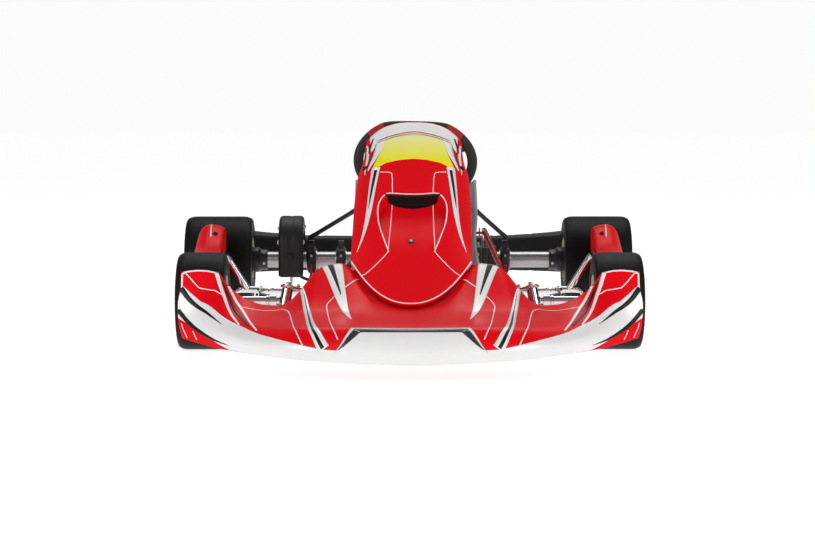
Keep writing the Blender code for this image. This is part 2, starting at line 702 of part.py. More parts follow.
def make_brake_caliper():
    half = DISC_T / 2 + 0.002
    low = at_front(DISC_X - 0.034, REAR_CROSS_Y + 0.017, RAIL_Z + 0.0145)
    body = block(low, at_rear(DISC_X + 0.034, -0.052, 0.050), 0.006)
    slot = turned([(-half, 0), (-half, DISC_R + 0.005), (half, DISC_R + 0.005), (half, 0)],
                  at_rear(DISC_X, 0, 0), X, 40)
    node("brake_caliper", cut(body, slot), "black_metal")


def make_rear_bumper():
    # (share of the half width, front y, back y, low z, high z); y from the rear axle
    front, back = REAR_TYRE_R, REAR_OVERHANG
    line = [(0, front + 0.070, back - 0.020, 0.078, 0.186), (0.44, front + 0.070, back - 0.012, 0.078, 0.188),
            (0.65, front + 0.057, back - 0.002, 0.076, 0.196), (0.82, front + 0.031, back, 0.074, 0.206),
            (0.94, front + 0.025, back - 0.022, 0.078, 0.200), (1.0, front + 0.030, back - 0.070, 0.090, 0.182)]
    half = [0, 0.22, 0.44, 0.54, 0.65, 0.74, 0.82, 0.88, 0.94, 1]
    sections = []
    for x in [-v for v in half[:0:-1]] + half:
        front, back, low, high = curve_value(line, abs(x))
        edge = 0.016
        outline = [(front, low + edge), (front, high - edge), (front + edge, high), (back - edge, high),
                   (back, high - edge), (back - 0.010, (low + high) / 2), (back, low + edge),
                   (back - edge, low), (front + edge, low)]
        sections.append([Vector((x * (REAR_HALF_WIDTH - 0.012), REAR_Y + y, z)) for y, z in outline])
    node("rear_bumper", loft(sections), "black_plastic")


def make_rear_bumper_bar():
    start = TAIL_CROSS_Y - WHEELBASE + 0.0003 + RAIL_R
    rise = AXLE_Z - 0.012
    half = [(RAIL_X, start, RAIL_Z), (RAIL_X, 0.172, RAIL_Z), (RAIL_X - 0.02, 0.186, rise)]
    path = half + [(-x, y, z) for x, y, z in half[::-1]]
    points = [Vector((x, REAR_Y + y, z)) for x, y, z in path]
    node("rear_bumper_bar", tube(points, 0.010, 8, bend=0.03, up=Z + X * 0.02), "chrome")


# ---------------------------------------------------------------- wheels and axle
def tyre_profile(inner, outer, radius):
    """Cross-section of a slick tyre as (x, radius), between its two sidewalls."""
    shoulder = 0.034 if outer - inner > 0.15 else 0.026
    side = [(RIM_INSET + 0.0085, BEAD_R + 0.0010), (RIM_INSET + 0.0012, FLANGE_R + 0.0016),
            (0.0, radius * 0.70), (0.003, radius * 0.86), (shoulder * 0.36, radius * 0.956),
            (shoulder, radius)]
    return [(inner + x, r) for x, r in side] + [(outer - x, r) for x, r in side[::-1]]


def rim_profile(inner, outer, disc, hub_in, hub_out, bore):
    """Cross-section of a rim: a well, a disc and a hub barrel round the bore."""
    low = RIM_WELL_R - RIM_WALL
    return [(inner, FLANGE_R), (inner + 0.006, BEAD_R), (inner + 0.026, RIM_WELL_R),
            (outer - 0.026, RIM_WELL_R), (outer - 0.006, BEAD_R), (outer, FLANGE_R),
            (outer, FLANGE_R - 0.004), (outer - 0.026, low), (disc + 0.006, low), (disc + 0.006, HUB_BARREL_R),
            (hub_out, HUB_BARREL_R), (hub_out, bore), (hub_in, bore), (hub_in, HUB_BARREL_R),
            (disc, HUB_BARREL_R), (disc, low), (inner + 0.026, low), (inner, FLANGE_R - 0.004)]


FRONT_DISC_X = FRONT_HALF_WIDTH - 0.0530
SPINDLE_END = FRONT_HALF_WIDTH - 0.0210
HUB_IN_X = FRONT_HALF_WIDTH - 0.1430
HUB_OUT_X = FRONT_HALF_WIDTH - 0.0380


def make_front_wheel(name, side, carrier):
    centre = at_front(0, 0, FRONT_TYRE_R)
    inner = FRONT_HALF_WIDTH - FRONT_TYRE_W
    rim = rim_profile(inner + RIM_INSET, FRONT_HALF_WIDTH - RIM_INSET, FRONT_DISC_X, HUB_IN_X, HUB_OUT_X,
                      SPINDLE_R + BEARING_CLEAR)
    tyre = tyre_profile(inner, FRONT_HALF_WIDTH, FRONT_TYRE_R)
    axis = X * side
    node("front_rim_" + name, turned(rim, centre, axis, RIM_SIDES), "magnesium", carrier)
    node("front_tyre_" + name, turned(tyre, centre, axis, TYRE_SIDES), "tyre_rubber", carrier)



def make_rear_wheel(name, side, carrier):
    centre = at_rear(0, 0, 0)
    inner = REAR_HALF_WIDTH - REAR_TYRE_W
    rim = rim_profile(inner + RIM_INSET, REAR_HALF_WIDTH - RIM_INSET, REAR_DISC_X, REAR_DISC_X - 0.0004,
                      REAR_DISC_X + 0.0064, 0.0180)
    tyre = tyre_profile(inner, REAR_HALF_WIDTH, REAR_TYRE_R)
    start = REAR_DISC_X - 0.095
    hub = [(start, AXLE_R + GAP), (start, 0.032), (start + 0.022, 0.032), (start + 0.026, 0.039),
           (REAR_DISC_X - 2 * GAP - 0.0004, 0.039), (REAR_DISC_X - 2 * GAP - 0.0004, AXLE_R + GAP)]
    axis = X * side
    node("rear_hub_" + name, turned(hub, centre, axis, 20), "black_metal", carrier)
    node("rear_rim_" + name, turned(rim, centre, axis, RIM_SIDES), "magnesium", carrier)
    node("rear_tyre_" + name, turned(tyre, centre, axis, TYRE_SIDES), "tyre_rubber", carrier)


def make_rear_axle(carrier):
    end = AXLE_HALF_LENGTH
    pipe = [(-end, AXLE_BORE_R), (-end, AXLE_R), (end, AXLE_R), (end, AXLE_BORE_R)]
    node("rear_axle", turned(pipe, at_rear(0, 0, 0), X, 24), "steel", carrier)
    bore = AXLE_R + GAP
    half = DISC_T / 2
    disc = [(-0.020, bore), (-0.020, 0.036), (-half, 0.038), (-half, DISC_R), (half, DISC_R), (half, 0.038),
            (0.020, 0.036), (0.020, bore)]
    node("brake_disc", turned(disc, at_rear(DISC_X, 0, 0), X, 32), "steel", carrier)
    sprocket = [(-0.018, bore), (-0.018, 0.036), (-0.0025, 0.038), (-0.0025, SPROCKET_R), (0.0025, SPROCKET_R),
                (0.0025, 0.038), (0.018, 0.036), (0.018, bore)]
    node("sprocket", turned(sprocket, at_rear(SPROCKET_X, 0, 0), X, 32), "aluminium", carrier)


# ---------------------------------------------------------------- steering
def make_stub_axle(name, side, carrier):
    frame = kingpin_frame(side)
    barrel_half = YOKE_HALF - 0.001
    barrel = moved(bar((0, 0, -barrel_half), (0, 0, barrel_half), 0.0150, 14), frame)
    root = at_front(side * (KINGPIN_X + 0.004), 0, FRONT_TYRE_R)
    spindle = bar(root, at_front(side * SPINDLE_END, 0, FRONT_TYRE_R), SPINDLE_R, 16)
    collar = bar(at_front(side * 0.353, 0, FRONT_TYRE_R), at_front(side * 0.372, 0, FRONT_TYRE_R), 0.0165, 16)
    joint = arm_joint(side)
    axis = kingpin_axis(side)
    arm_end = joint - axis * 0.0155
    arm = tube([at_front(side * (KINGPIN_X + 0.014), 0.004, FRONT_TYRE_R + 0.004), arm_end], 0.0075, 8)
    pad = bar(arm_end - axis * 0.004, arm_end + axis * 0.004, 0.0110, 12)
    stud = bar(arm_end, joint + axis * 0.010, 0.0035, 8)
    body = union(barrel, spindle, collar, arm, pad, stud)
    centre = at_front(side * KINGPIN_X, 0, FRONT_TYRE_R)
    bore = bar(centre - axis * 0.05, centre + axis * 0.05, KINGPIN_R + BEARING_CLEAR, 12)
    node("stub_axle_" + name, cut(body, bore), "chrome", carrier)


def make_kingpin(name, side):
    reach = YOKE_HALF + YOKE_T + GAP
    frame = kingpin_frame(side)
    pin = bar((0, 0, -reach - 0.008), (0, 0, reach + 0.012), KINGPIN_R, 10)
    head = bar((0, 0, reach), (0, 0, reach + 0.008), 0.0095, 6)
    nut = bar((0, 0, -reach - 0.008), (0, 0, -reach), 0.0085, 6)
    node("kingpin_" + name, moved(union(pin, head, nut), frame), "steel")


def arm_joint(side):
    return at_front(side * ARM_OUT, ARM_BACK, ARM_Z)


def pitman_joint(side):
    return on_column(PITMAN_AT) + COLUMN_DOWN * PITMAN_R + X * side * PITMAN_HALF


def make_steering_column(carrier):
    column = bar(on_column(0), on_column(COLUMN_LENGTH - GAP), COLUMN_R, 16)
    sleeve = bar(on_column(PITMAN_AT - 0.012), on_column(PITMAN_AT + 0.023), 0.0145, 16)
    wide, deep = PITMAN_HALF + 0.011, PITMAN_R + 0.010
    outline = [(-0.014, 0.012), (0.014, 0.012), (wide, -PITMAN_R + 0.010), (wide, -deep), (-wide, -deep),
               (-wide, -PITMAN_R + 0.010)]
    plate = loft([[Vector((x, y, z)) for x, y in outline] for z in (0.0125, 0.0175)])
    plate = moved(plate, column_frame(PITMAN_AT))
    node("steering_column", union(column, sleeve, plate), "steel", carrier)


def steering_rim_path():
    """A circle with its top cut flat."""
    flat = STEERING_WHEEL_R * 0.90
    points = []
    for i in range(28):
        a = 2 * math.pi * i / 28
        x, y = STEERING_WHEEL_R * math.cos(a), STEERING_WHEEL_R * math.sin(a)
        points.append(Vector((x, min(y, flat), 0)))
    return points


def make_steering_wheel(carrier):
    rim = tube(steering_rim_path(), STEERING_RIM_R, 8, closed=True)
    hub = turned([(-0.028, 0), (-0.028, 0.024), (-0.006, 0.030), (0.006, 0.030), (0.006, 0)],
                 Vector(), Z, 20)
    spokes = []
    for angle in (25, 155, 270):
        a = math.radians(angle)
        spoke = block((0, -0.016, -0.002), (STEERING_WHEEL_R - 0.004, 0.016, 0.002))
        spokes.append(moved(spoke, Matrix.Rotation(a, 4, 'Z')))
    wheel = moved(union(rim, hub, *spokes), column_frame(COLUMN_LENGTH + 0.028))
    node("steering_wheel", wheel, "black_plastic", carrier)


def make_tie_rod(name, side, carrier):
    outer, inner = arm_joint(side), pitman_joint(side)
    rod = bar(inner.lerp(outer, 0.02), inner.lerp(outer, 0.98), 0.0055, 10)
    axis = kingpin_axis(side)
    outer_eye = bar(outer - axis * 0.006, outer + axis * 0.006, 0.0105, 12)
    inner_eye = bar(inner - COLUMN_DIR * 0.0055, inner + COLUMN_DIR * 0.0055, 0.0100, 12)
    hole = bar(outer - axis * 0.02, outer + axis * 0.02, 0.0045, 10)
    body = cut(union(rod, outer_eye, inner_eye), hole)
    node("tie_rod_" + name, body, "chrome", carrier)


SUPPORT_AT = 0.350              # where the upper bearing holds the column


def make_steering_support():
    foot_z = RAIL_Z + RAIL_R + 0.006
    top = on_column(SUPPORT_AT)
    half = [at_front(RAIL_X - 0.012, 0.205, foot_z), Vector((0.050, top.y + 0.010, top.z - 0.026))]
    path = half + [Vector((-p.x, p.y, p.z)) for p in half[::-1]]
    hoop = tube(path, 0.008, 8, bend=0.05, up=Y)
    holder = bar(on_column(SUPPORT_AT - 0.016), on_column(SUPPORT_AT + 0.016), 0.0230, 16)
    reach = [on_column(SUPPORT_AT) - COLUMN_DOWN * 0.018, at_front(0.010, 0.110, 0.424),
             at_front(0.010, 0.032, 0.449)]
    arm = tube(reach, 0.006, 8, bend=0.02, up=X)
    cross = bar(at_front(-0.078, 0.032, 0.449), at_front(0.098, 0.032, 0.449), 0.0060, 8)
    bore = bar(on_column(SUPPORT_AT - 0.05), on_column(SUPPORT_AT + 0.05), COLUMN_R + BEARING_CLEAR, 16)
    node("steering_support", cut(union(hoop, holder, arm, cross), bore), "black_metal")


# ---------------------------------------------------------------- assembly
def clear_scene():
    for thing in list(bpy.data.objects):
        bpy.data.objects.remove(thing, do_unlink=True)


def main():
    clear_scene()
    make_paints()
    make_chassis()
    make_floor_tray()
    make_front_bumper()
    make_nose()
    make_front_panel()
    make_pedals()
    make_master_cylinder()
    make_seat()
    make_seat_stays()
    make_fuel_tank()
    make_steering_support()
    make_chain_guard()
    make_brake_caliper()
    make_rear_bumper()
    make_rear_bumper_bar()
    for name, x in BEARING_X.items():
        make_bearing(name, x)
    axle = pivot("rear_axle_pivot", at_rear(0, 0, 0))
    make_rear_axle(axle)
    column = pivot("steering_pivot", on_column(0))
    make_steering_column(column)
    make_steering_wheel(column)
    for name, side in SIDES.items():
        make_side_bar(name, side)
        make_side_pod(name, side)
        make_rear_wheel(name, side, axle)
        make_kingpin(name, side)
        knuckle = pivot("knuckle_pivot_" + name, at_front(side * KINGPIN_X, 0, FRONT_TYRE_R))
        make_stub_axle(name, side, knuckle)
        wheel = pivot("front_wheel_pivot_" + name, at_front(side * FRONT_DISC_X, 0, FRONT_TYRE_R), knuckle)
        make_front_wheel(name, side, wheel)
        rod = pivot("tie_rod_pivot_" + name, arm_joint(side), knuckle)
        make_tie_rod(name, side, rod)


main()
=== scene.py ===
# %% [markdown]
# # A racing go kart, around its CAD frame
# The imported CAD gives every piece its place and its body. This lesson builds the looks around it:
# moulded bodywork with vinyl graphics, slick tyres, chromed bars, a fibreglass seat. All lengths
# are in metres, +Z is up and the kart faces -Y, so its left side is +X.

# %% Load the frame
import json
import math

import bmesh
import bpy
from mathutils import Matrix, Vector


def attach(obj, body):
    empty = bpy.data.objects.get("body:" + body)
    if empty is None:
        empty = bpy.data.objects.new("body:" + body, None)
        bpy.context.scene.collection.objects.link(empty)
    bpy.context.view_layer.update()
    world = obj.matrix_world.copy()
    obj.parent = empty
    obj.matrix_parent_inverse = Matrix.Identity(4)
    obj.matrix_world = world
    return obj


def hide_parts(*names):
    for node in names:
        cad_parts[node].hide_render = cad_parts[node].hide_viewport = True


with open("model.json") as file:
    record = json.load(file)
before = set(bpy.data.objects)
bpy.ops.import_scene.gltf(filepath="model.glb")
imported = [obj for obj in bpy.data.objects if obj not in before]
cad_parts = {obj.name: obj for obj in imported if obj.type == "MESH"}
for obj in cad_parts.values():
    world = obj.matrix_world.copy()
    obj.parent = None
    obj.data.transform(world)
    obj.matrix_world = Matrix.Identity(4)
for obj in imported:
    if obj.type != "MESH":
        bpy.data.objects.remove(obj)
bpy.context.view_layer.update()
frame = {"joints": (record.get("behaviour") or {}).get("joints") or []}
joints = {joint["name"]: joint for joint in frame["joints"]}
front_axle = Vector(joints["knuckle_left_turn"]["pos_m"])
rear_axle = Vector(joints["rear_axle_spin"]["pos_m"])
FRONT_Y, REAR_Y, AXLE_Z, FRONT_R = front_axle.y, rear_axle.y, rear_axle.z, front_axle.z
WHEELBASE = REAR_Y - FRONT_Y
X, Y, Z = Vector((1, 0, 0)), Vector((0, 1, 0)), Vector((0, 0, 1))
SIDES = {"left": 1, "right": -1}

# %% [markdown]
# ## Camera, floor and light
# The camera stands a little over five metres ahead of the nose, at chest height, with a long lens.
# The floor is one pale sheet under a white sky, and four soft lamps give broad highlights.

# %% Camera and studio
IMAGE_WIDTH, FOCAL_SHARE, SENSOR = 815, 2149, 36.0
camera_data = bpy.data.cameras.new("camera")
camera_data.sensor_width = SENSOR
camera_data.lens = FOCAL_SHARE / IMAGE_WIDTH * SENSOR
camera_data.clip_end = 100
camera = bpy.data.objects.new("camera", camera_data)
camera.location = (-0.0284, FRONT_Y - 5.658, 0.800)
camera.rotation_euler = (math.pi / 2 - 0.1045, 0, -0.0039)
bpy.context.scene.collection.objects.link(camera)
bpy.context.scene.camera = camera


def lamp(name, place, aim, size, watts):
    data = bpy.data.lights.new(name, 'AREA')
    data.shape, data.size, data.size_y, data.energy = 'RECTANGLE', size[0], size[1], watts
    holder = bpy.data.objects.new(name, data)
    holder.location = place
    holder.rotation_euler = (Vector(aim) - Vector(place)).to_track_quat('-Z', 'Y').to_euler()
    bpy.context.scene.collection.objects.link(holder)


lamp("lamp_above", (0.2, 1.6, 3.2), (0, 0.2, 0.2), (3.4, 2.0), 52)
lamp("lamp_front_right", (-3.0, -3.6, 2.2), (0, 0, 0.2), (2.2, 1.8), 74)
lamp("lamp_front_left", (3.2, -3.2, 2.0), (0, 0, 0.2), (2.2, 1.8), 67)
lamp("lamp_behind", (0.5, 2.6, 3.6), (0, 0.2, 0.3), (2.6, 1.4), 12)

world = bpy.data.worlds.new("studio")
world.use_nodes = True
sky = world.node_tree.nodes.new("ShaderNodeTexCoord")
split = world.node_tree.nodes.new("ShaderNodeSeparateXYZ")
fade = world.node_tree.nodes.new("ShaderNodeMapRange")
for name, value in (("From Min", 0.12), ("From Max", 0.75), ("To Min", 0.36), ("To Max", 0.14)):
    fade.inputs[name].default_value = value
world.node_tree.links.new(sky.outputs["Generated"], split.inputs["Vector"])
world.node_tree.links.new(split.outputs["Z"], fade.inputs["Value"])
seen = world.node_tree.nodes.new("ShaderNodeLightPath")
blend = world.node_tree.nodes.new("ShaderNodeMix")
blend.inputs["B"].default_value = 0.97
world.node_tree.links.new(seen.outputs["Is Camera Ray"], blend.inputs["Factor"])
world.node_tree.links.new(fade.outputs["Result"], blend.inputs["A"])
world.node_tree.links.new(blend.outputs["Result"], world.node_tree.nodes["Background"].inputs["Strength"])
world.node_tree.nodes["Background"].inputs["Color"].default_value = (1.0, 1.0, 1.0, 1.0)
bpy.context.scene.world = world
bpy.context.scene.view_settings.view_transform = 'Standard'


# %% [markdown]
# ## Finishes
# Every finish is a shader with its own grain: a colour that drifts a little, a roughness that
# drifts with it, and a fine bump at the real scale of the surface. One function sets these up, and
# the woven, brushed and striped finishes add their own pattern on top.

# %% Finishes
def links_of(material):
    tree = material.node_tree
    return tree.nodes, tree.links, tree.nodes["Principled BSDF"]


def add(nodes, kind, **values):
    node = nodes.new(kind)
    for key, value in values.items():
        if hasattr(node, key):
            setattr(node, key, value)
        else:
            node.inputs[key.replace("_", " ")].default_value = value
    return node


def mixed(nodes, links, factor, first, second):
    """A colour mixed from two, by a factor socket."""
    mix = nodes.new("ShaderNodeMix")
    mix.data_type = 'RGBA'
    links.new(factor, mix.inputs["Factor"])
    for value, socket in ((first, mix.inputs[6]), (second, mix.inputs[7])):
        if hasattr(value, "links"):
            links.new(value, socket)
        else:
            socket.default_value = (*value, 1.0)
    return mix.outputs[2]


def finish(name, colour, drift, rough, metal=0.0, coat=0.0, cell=0.05, grain=0.001, bump=0.05, shine=0.5):
    """colour drifts to drift over patches of size cell; the bump's grain is in metres."""
    material = bpy.data.materials.new(name)
    material.use_nodes = True
    nodes, links, shader = links_of(material)
    place = nodes.new("ShaderNodeTexCoord").outputs["Object"]
    patches = add(nodes, "ShaderNodeTexNoise", Scale=1 / cell, Detail=4.0, Roughness=0.6)
    links.new(place, patches.inputs["Vector"])
    links.new(mixed(nodes, links, patches.outputs["Fac"], colour, drift), shader.inputs["Base Color"])
    spread = add(nodes, "ShaderNodeMapRange", To_Min=rough[0], To_Max=rough[1])
    links.new(patches.outputs["Fac"], spread.inputs["Value"])
    links.new(spread.outputs["Result"], shader.inputs["Roughness"])
    fine = add(nodes, "ShaderNodeTexNoise", Scale=1 / grain, Detail=2.0)
    links.new(place, fine.inputs["Vector"])
    relief = add(nodes, "ShaderNodeBump", Strength=bump, Distance=grain)
    links.new(fine.outputs["Fac"], relief.inputs["Height"])
    links.new(relief.outputs["Normal"], shader.inputs["Normal"])
    shader.inputs["Metallic"].default_value = metal
    shader.inputs["Specular IOR Level"].default_value = shine
    shader.inputs["Coat Weight"].default_value = coat
    shader.inputs["Coat Roughness"].default_value = 0.04
    return material


def wave_over(material, scale, axis, depth, strength):
    """Fine lines across a finish, as turning or brushing leaves."""
    nodes, links, shader = links_of(material)
    place = nodes.new("ShaderNodeTexCoord").outputs["Object"]
    wave = add(nodes, "ShaderNodeTexWave", bands_direction=axis, Scale=scale, Distortion=1.5, Detail=3.0)
    links.new(place, wave.inputs["Vector"])
    relief = add(nodes, "ShaderNodeBump", Strength=strength, Distance=depth)
    links.new(wave.outputs["Fac"], relief.inputs["Height"])
    links.new(shader.inputs["Normal"].links[0].from_socket, relief.inputs["Normal"])
    links.new(relief.outputs["Normal"], shader.inputs["Normal"])
    return material


red_plastic = finish("red_plastic", (0.82, 0.003, 0.010), (0.74, 0.003, 0.009), (0.28, 0.36), coat=0.02,
                     cell=0.25, grain=0.004, bump=0.03, shine=0.06)
white_film = finish("white_film", (0.86, 0.85, 0.84), (0.82, 0.81, 0.81), (0.20, 0.28), coat=0.2,
                    cell=0.08, grain=0.003, bump=0.02)
# Black vinyl for the printed stripes; the same black also paints the shade at the top of the panel's
# pressing.
black_film = finish("black_film", (0.006, 0.006, 0.006), (0.010, 0.009, 0.009), (0.26, 0.36), cell=0.06,
                    grain=0.003, bump=0.02, shine=0.25)
red_film = finish("red_film", (0.60, 0.005, 0.01), (0.50, 0.004, 0.008), (0.18, 0.26), coat=0.05,
                  cell=0.06, grain=0.003, bump=0.02, shine=0.22)
black_plastic = finish("moulded_black", (0.010, 0.010, 0.011), (0.015, 0.015, 0.016), (0.38, 0.55),
                       cell=0.03, grain=0.0008, bump=0.22, shine=0.28)
black_metal = finish("black_metal", (0.016, 0.016, 0.018), (0.035, 0.035, 0.038), (0.26, 0.40),
                     metal=0.4, cell=0.02, grain=0.0006, bump=0.12)
chrome = finish("chrome", (0.74, 0.74, 0.75), (0.62, 0.62, 0.64), (0.06, 0.15), metal=1.0,
                cell=0.04, grain=0.0015, bump=0.04)
steel = wave_over(finish("turned_steel", (0.46, 0.45, 0.44), (0.32, 0.31, 0.31), (0.22, 0.38), metal=1.0,
                         cell=0.03, grain=0.0008, bump=0.05), 180, 'X', 0.0002, 0.25)
zinc = finish("zinc_plate", (0.60, 0.60, 0.62), (0.44, 0.43, 0.40), (0.25, 0.42), metal=1.0,
              cell=0.01, grain=0.0006, bump=0.08)
aluminium = wave_over(finish("brushed_aluminium", (0.66, 0.67, 0.69), (0.54, 0.55, 0.57), (0.28, 0.42),
                             metal=1.0, cell=0.05, grain=0.001, bump=0.05), 260, 'X', 0.0002, 0.2)
frame_paint = finish("frame_powder_coat", (0.33, 0.006, 0.012), (0.22, 0.004, 0.008), (0.20, 0.32),
                     coat=0.5, cell=0.05, grain=0.0016, bump=0.12)
magnesium = finish("cast_magnesium", (0.36, 0.30, 0.20), (0.24, 0.20, 0.14), (0.34, 0.52), metal=0.85,
                   cell=0.02, grain=0.0009, bump=0.35)
rubber = finish("slick_rubber", (0.004, 0.004, 0.004), (0.008, 0.008, 0.008), (0.42, 0.62),
                cell=0.012, grain=0.0007, bump=0.30, shine=0.12)
tank_plastic = finish("milky_plastic", (0.72, 0.71, 0.64), (0.62, 0.61, 0.53), (0.35, 0.48),
                      cell=0.06, grain=0.0012, bump=0.12)
suede = finish("black_suede", (0.012, 0.012, 0.012), (0.030, 0.029, 0.029), (0.75, 0.95),
               cell=0.004, grain=0.0005, bump=0.6)
red_suede = finish("red_suede", (0.42, 0.012, 0.016), (0.30, 0.008, 0.010), (0.65, 0.90),
                   cell=0.004, grain=0.0005, bump=0.6)
floor_paint = finish("studio_floor", (0.42, 0.42, 0.42), (0.40, 0.40, 0.40), (0.70, 0.80),
                     cell=1.5, grain=0.02, bump=0.01)
links_of(floor_paint)[2].inputs["Emission Color"].default_value = (1.0, 1.0, 1.0, 1.0)
links_of(floor_paint)[2].inputs["Emission Strength"].default_value = 0.88
print("finishes", len(bpy.data.materials))


# %% [markdown]
# ## Shape tools
# Most pieces of a kart are bent tube, turned metal or a thin moulded skin. So a handful of small
# mesh makers do nearly all the work: `skin` joins rings of points, `pipe` bends a tube, `lathe`
# turns a profile, `slab` gives an outline a thickness, and `piece` hands the result to the frame.

# %% Shape tools
def skin(rings, wrap=True, cap=True, loop=False):
    bm = bmesh.new()
    rows = [[bm.verts.new(p) for p in ring] for ring in rings]
    if loop:
        rows.append(rows[0])
    count = len(rows[0])
    for a, b in zip(rows, rows[1:]):
        for i in range(count if wrap else count - 1):
            j = (i + 1) % count
            bm.faces.new((a[i], a[j], b[j], b[i]))
    if cap and wrap and not loop:
        bm.faces.new(rows[0][::-1])
        bm.faces.new(rows[-1])
    bmesh.ops.recalc_face_normals(bm, faces=bm.faces)
    return bm


def bent(points, bend, steps=7):
    """A polyline whose corners are turned into arcs."""
    points = [Vector(p) for p in points]
    path = [points[0]]
    for before, corner, after in zip(points, points[1:], points[2:]):
        u, v = before - corner, after - corner
        turn = math.pi - u.angle(v)
        if turn < 0.07:
            path.append(corner)
            continue
        cut = min(bend * math.tan(turn / 2), 0.45 * u.length, 0.45 * v.length)
        start, end = corner + u.normalized() * cut, corner + v.normalized() * cut
        for i in range(steps + 1):
            t = i / steps
            path.append(start.lerp(corner, t).lerp(corner.lerp(end, t), t))
    return path + [points[-1]]


def ring(centre, axis, radius, sides, start=0.0):
    """Points of a circle round an axis."""
    axis = axis.normalized()
    side = axis.cross(Z if abs(axis.z) < 0.9 else Y).normalized()
    over = side.cross(axis)
    angles = [start + 2 * math.pi * (i + 0.5) / sides for i in range(sides)]
    return [centre + radius * (math.cos(a) * side + math.sin(a) * over) for a in angles]


def pipe(points, radius, bend=0.0, sides=20, loop=False):
    """A round tube along points. The rings are carried along, so they never twist."""
    path = bent(points, bend) if bend else [Vector(p) for p in points]
    count = len(path)
    across, rings = None, []
    for i, p in enumerate(path):
        ahead = path[(i + 1) % count] if loop else path[min(i + 1, count - 1)]
        behind = path[i - 1] if loop else path[max(i - 1, 0)]
        along = (ahead - behind).normalized()
        if across is None:
            across = along.orthogonal()
        across = (across - along * across.dot(along)).normalized()
        over = along.cross(across)
        rings.append([p + radius * (math.cos(a) * across + math.sin(a) * over)
                      for a in (2 * math.pi * k / sides for k in range(sides))])
    return skin(rings, loop=loop)


def lathe(profile, centre=(0, 0, 0), axis=X, sides=64):
    """A closed (along, radius) profile turned about an axis; radius 0 is a pole."""
    bm = bmesh.new()
    axis, centre = Vector(axis).normalized(), Vector(centre)
    rows = []
    for along, radius in profile:
        middle = centre + axis * along
        spots = [middle] if radius < 1e-6 else ring(middle, axis, radius, sides)
        rows.append([bm.verts.new(p) for p in spots])
    pairs = list(zip(rows, rows[1:]))
    if len(rows[0]) > 1:
        pairs.append((rows[-1], rows[0]))
    for a, b in pairs:
        for i in range(sides):
            j = (i + 1) % sides
            if len(a) == 1 and len(b) > 1:
                bm.faces.new((a[0], b[j], b[i]))
            elif len(b) == 1 and len(a) > 1:
                bm.faces.new((a[i], a[j], b[0]))
            elif len(a) > 1:
                bm.faces.new((a[i], a[j], b[j], b[i]))
    bmesh.ops.recalc_face_normals(bm, faces=bm.faces)
    return bm


def rod(a, b, radius, sides=24, edge=0.0008):
    """A round bar with its two ends chamfered."""
    a, b = Vector(a), Vector(b)
    length = (b - a).length
    edge = min(edge, radius * 0.4, length * 0.3)
    return lathe([(0, 0), (0, radius - edge), (edge, radius), (length - edge, radius),
                  (length, radius - edge), (length, 0)], a, b - a, sides)


def washer(a, b, radius, bore, sides=40, edge=0.0008):
    """A ring or sleeve from a to b."""
    a, b = Vector(a), Vector(b)
    length = (b - a).length
    return lathe([(0, bore), (0, radius - edge), (edge, radius), (length - edge, radius),
                  (length, radius - edge), (length, bore)], a, b - a, sides)


def slab(outline, thick, matrix=Matrix()):
    """An outline in local (x, y) given a thickness along local Z, centred on it."""
    rings = [[matrix @ Vector((x, y, z)) for x, y in outline] for z in (-thick / 2, thick / 2)]
    return skin(rings)


def brick(low, high):
    (a, b, c), (d, e, f) = low, high
    return skin([[Vector(p) for p in ((a, b, z), (d, b, z), (d, e, z), (a, e, z))] for z in (c, f)])


def placed(bm, matrix):
    bmesh.ops.transform(bm, matrix=matrix, verts=bm.verts)
    return bm


def joined(*parts):
    """Several shapes in one mesh; each stays a closed shell of its own."""
    whole = bmesh.new()
    for part in parts:
        mesh = bpy.data.meshes.new("part")
        part.to_mesh(mesh)
        part.free()
        whole.from_mesh(mesh)
        bpy.data.meshes.remove(mesh)
    return whole


def triangles(mesh):
    mesh.calc_loop_triangles()
    return len(mesh.loop_triangles)


def handed(thing, body, replaced=()):
    """Rides a finished object on its body and says what it stands for."""
    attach(thing, body)
    if replaced:
        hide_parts(*([replaced] if isinstance(replaced, str) else replaced))
    print(thing.name, triangles(thing.data), "triangles")
    return thing


def piece(name, bm, material, body, replaced=(), bevel=0.0, wall=0.0, levels=0, angle=35, segments=2):
    """A named piece from a mesh, with the modifiers that finish it."""
    mesh = bpy.data.meshes.new(name)
    bm.to_mesh(mesh)
    bm.free()
    mesh.materials.append(material)
    mesh.shade_smooth()
    thing = bpy.data.objects.new(name, mesh)
    bpy.context.scene.collection.objects.link(thing)
    if wall:
        solid = thing.modifiers.new("wall", 'SOLIDIFY')
        solid.thickness, solid.offset, solid.use_even_offset = wall, -1.0, True
    if bevel:
        edge = thing.modifiers.new("edge", 'BEVEL')
        edge.width, edge.segments, edge.limit_method = bevel, segments, 'ANGLE'
        edge.angle_limit = math.radians(30)
    if levels:
        smooth = thing.modifiers.new("smooth", 'SUBSURF')
        smooth.levels = smooth.render_levels = levels
    else:
        mesh.set_sharp_from_angle(angle=math.radians(angle))
    return handed(thing, body, replaced)


def facing(bm, outward):
    """Turns an open skin so that its faces point the way that outward(centre) says."""
    face = max(bm.faces, key=lambda f: f.calc_area())
    if face.normal.dot(outward(face.calc_center_median())) < 0:
        bmesh.ops.reverse_faces(bm, faces=bm.faces)
    return bm


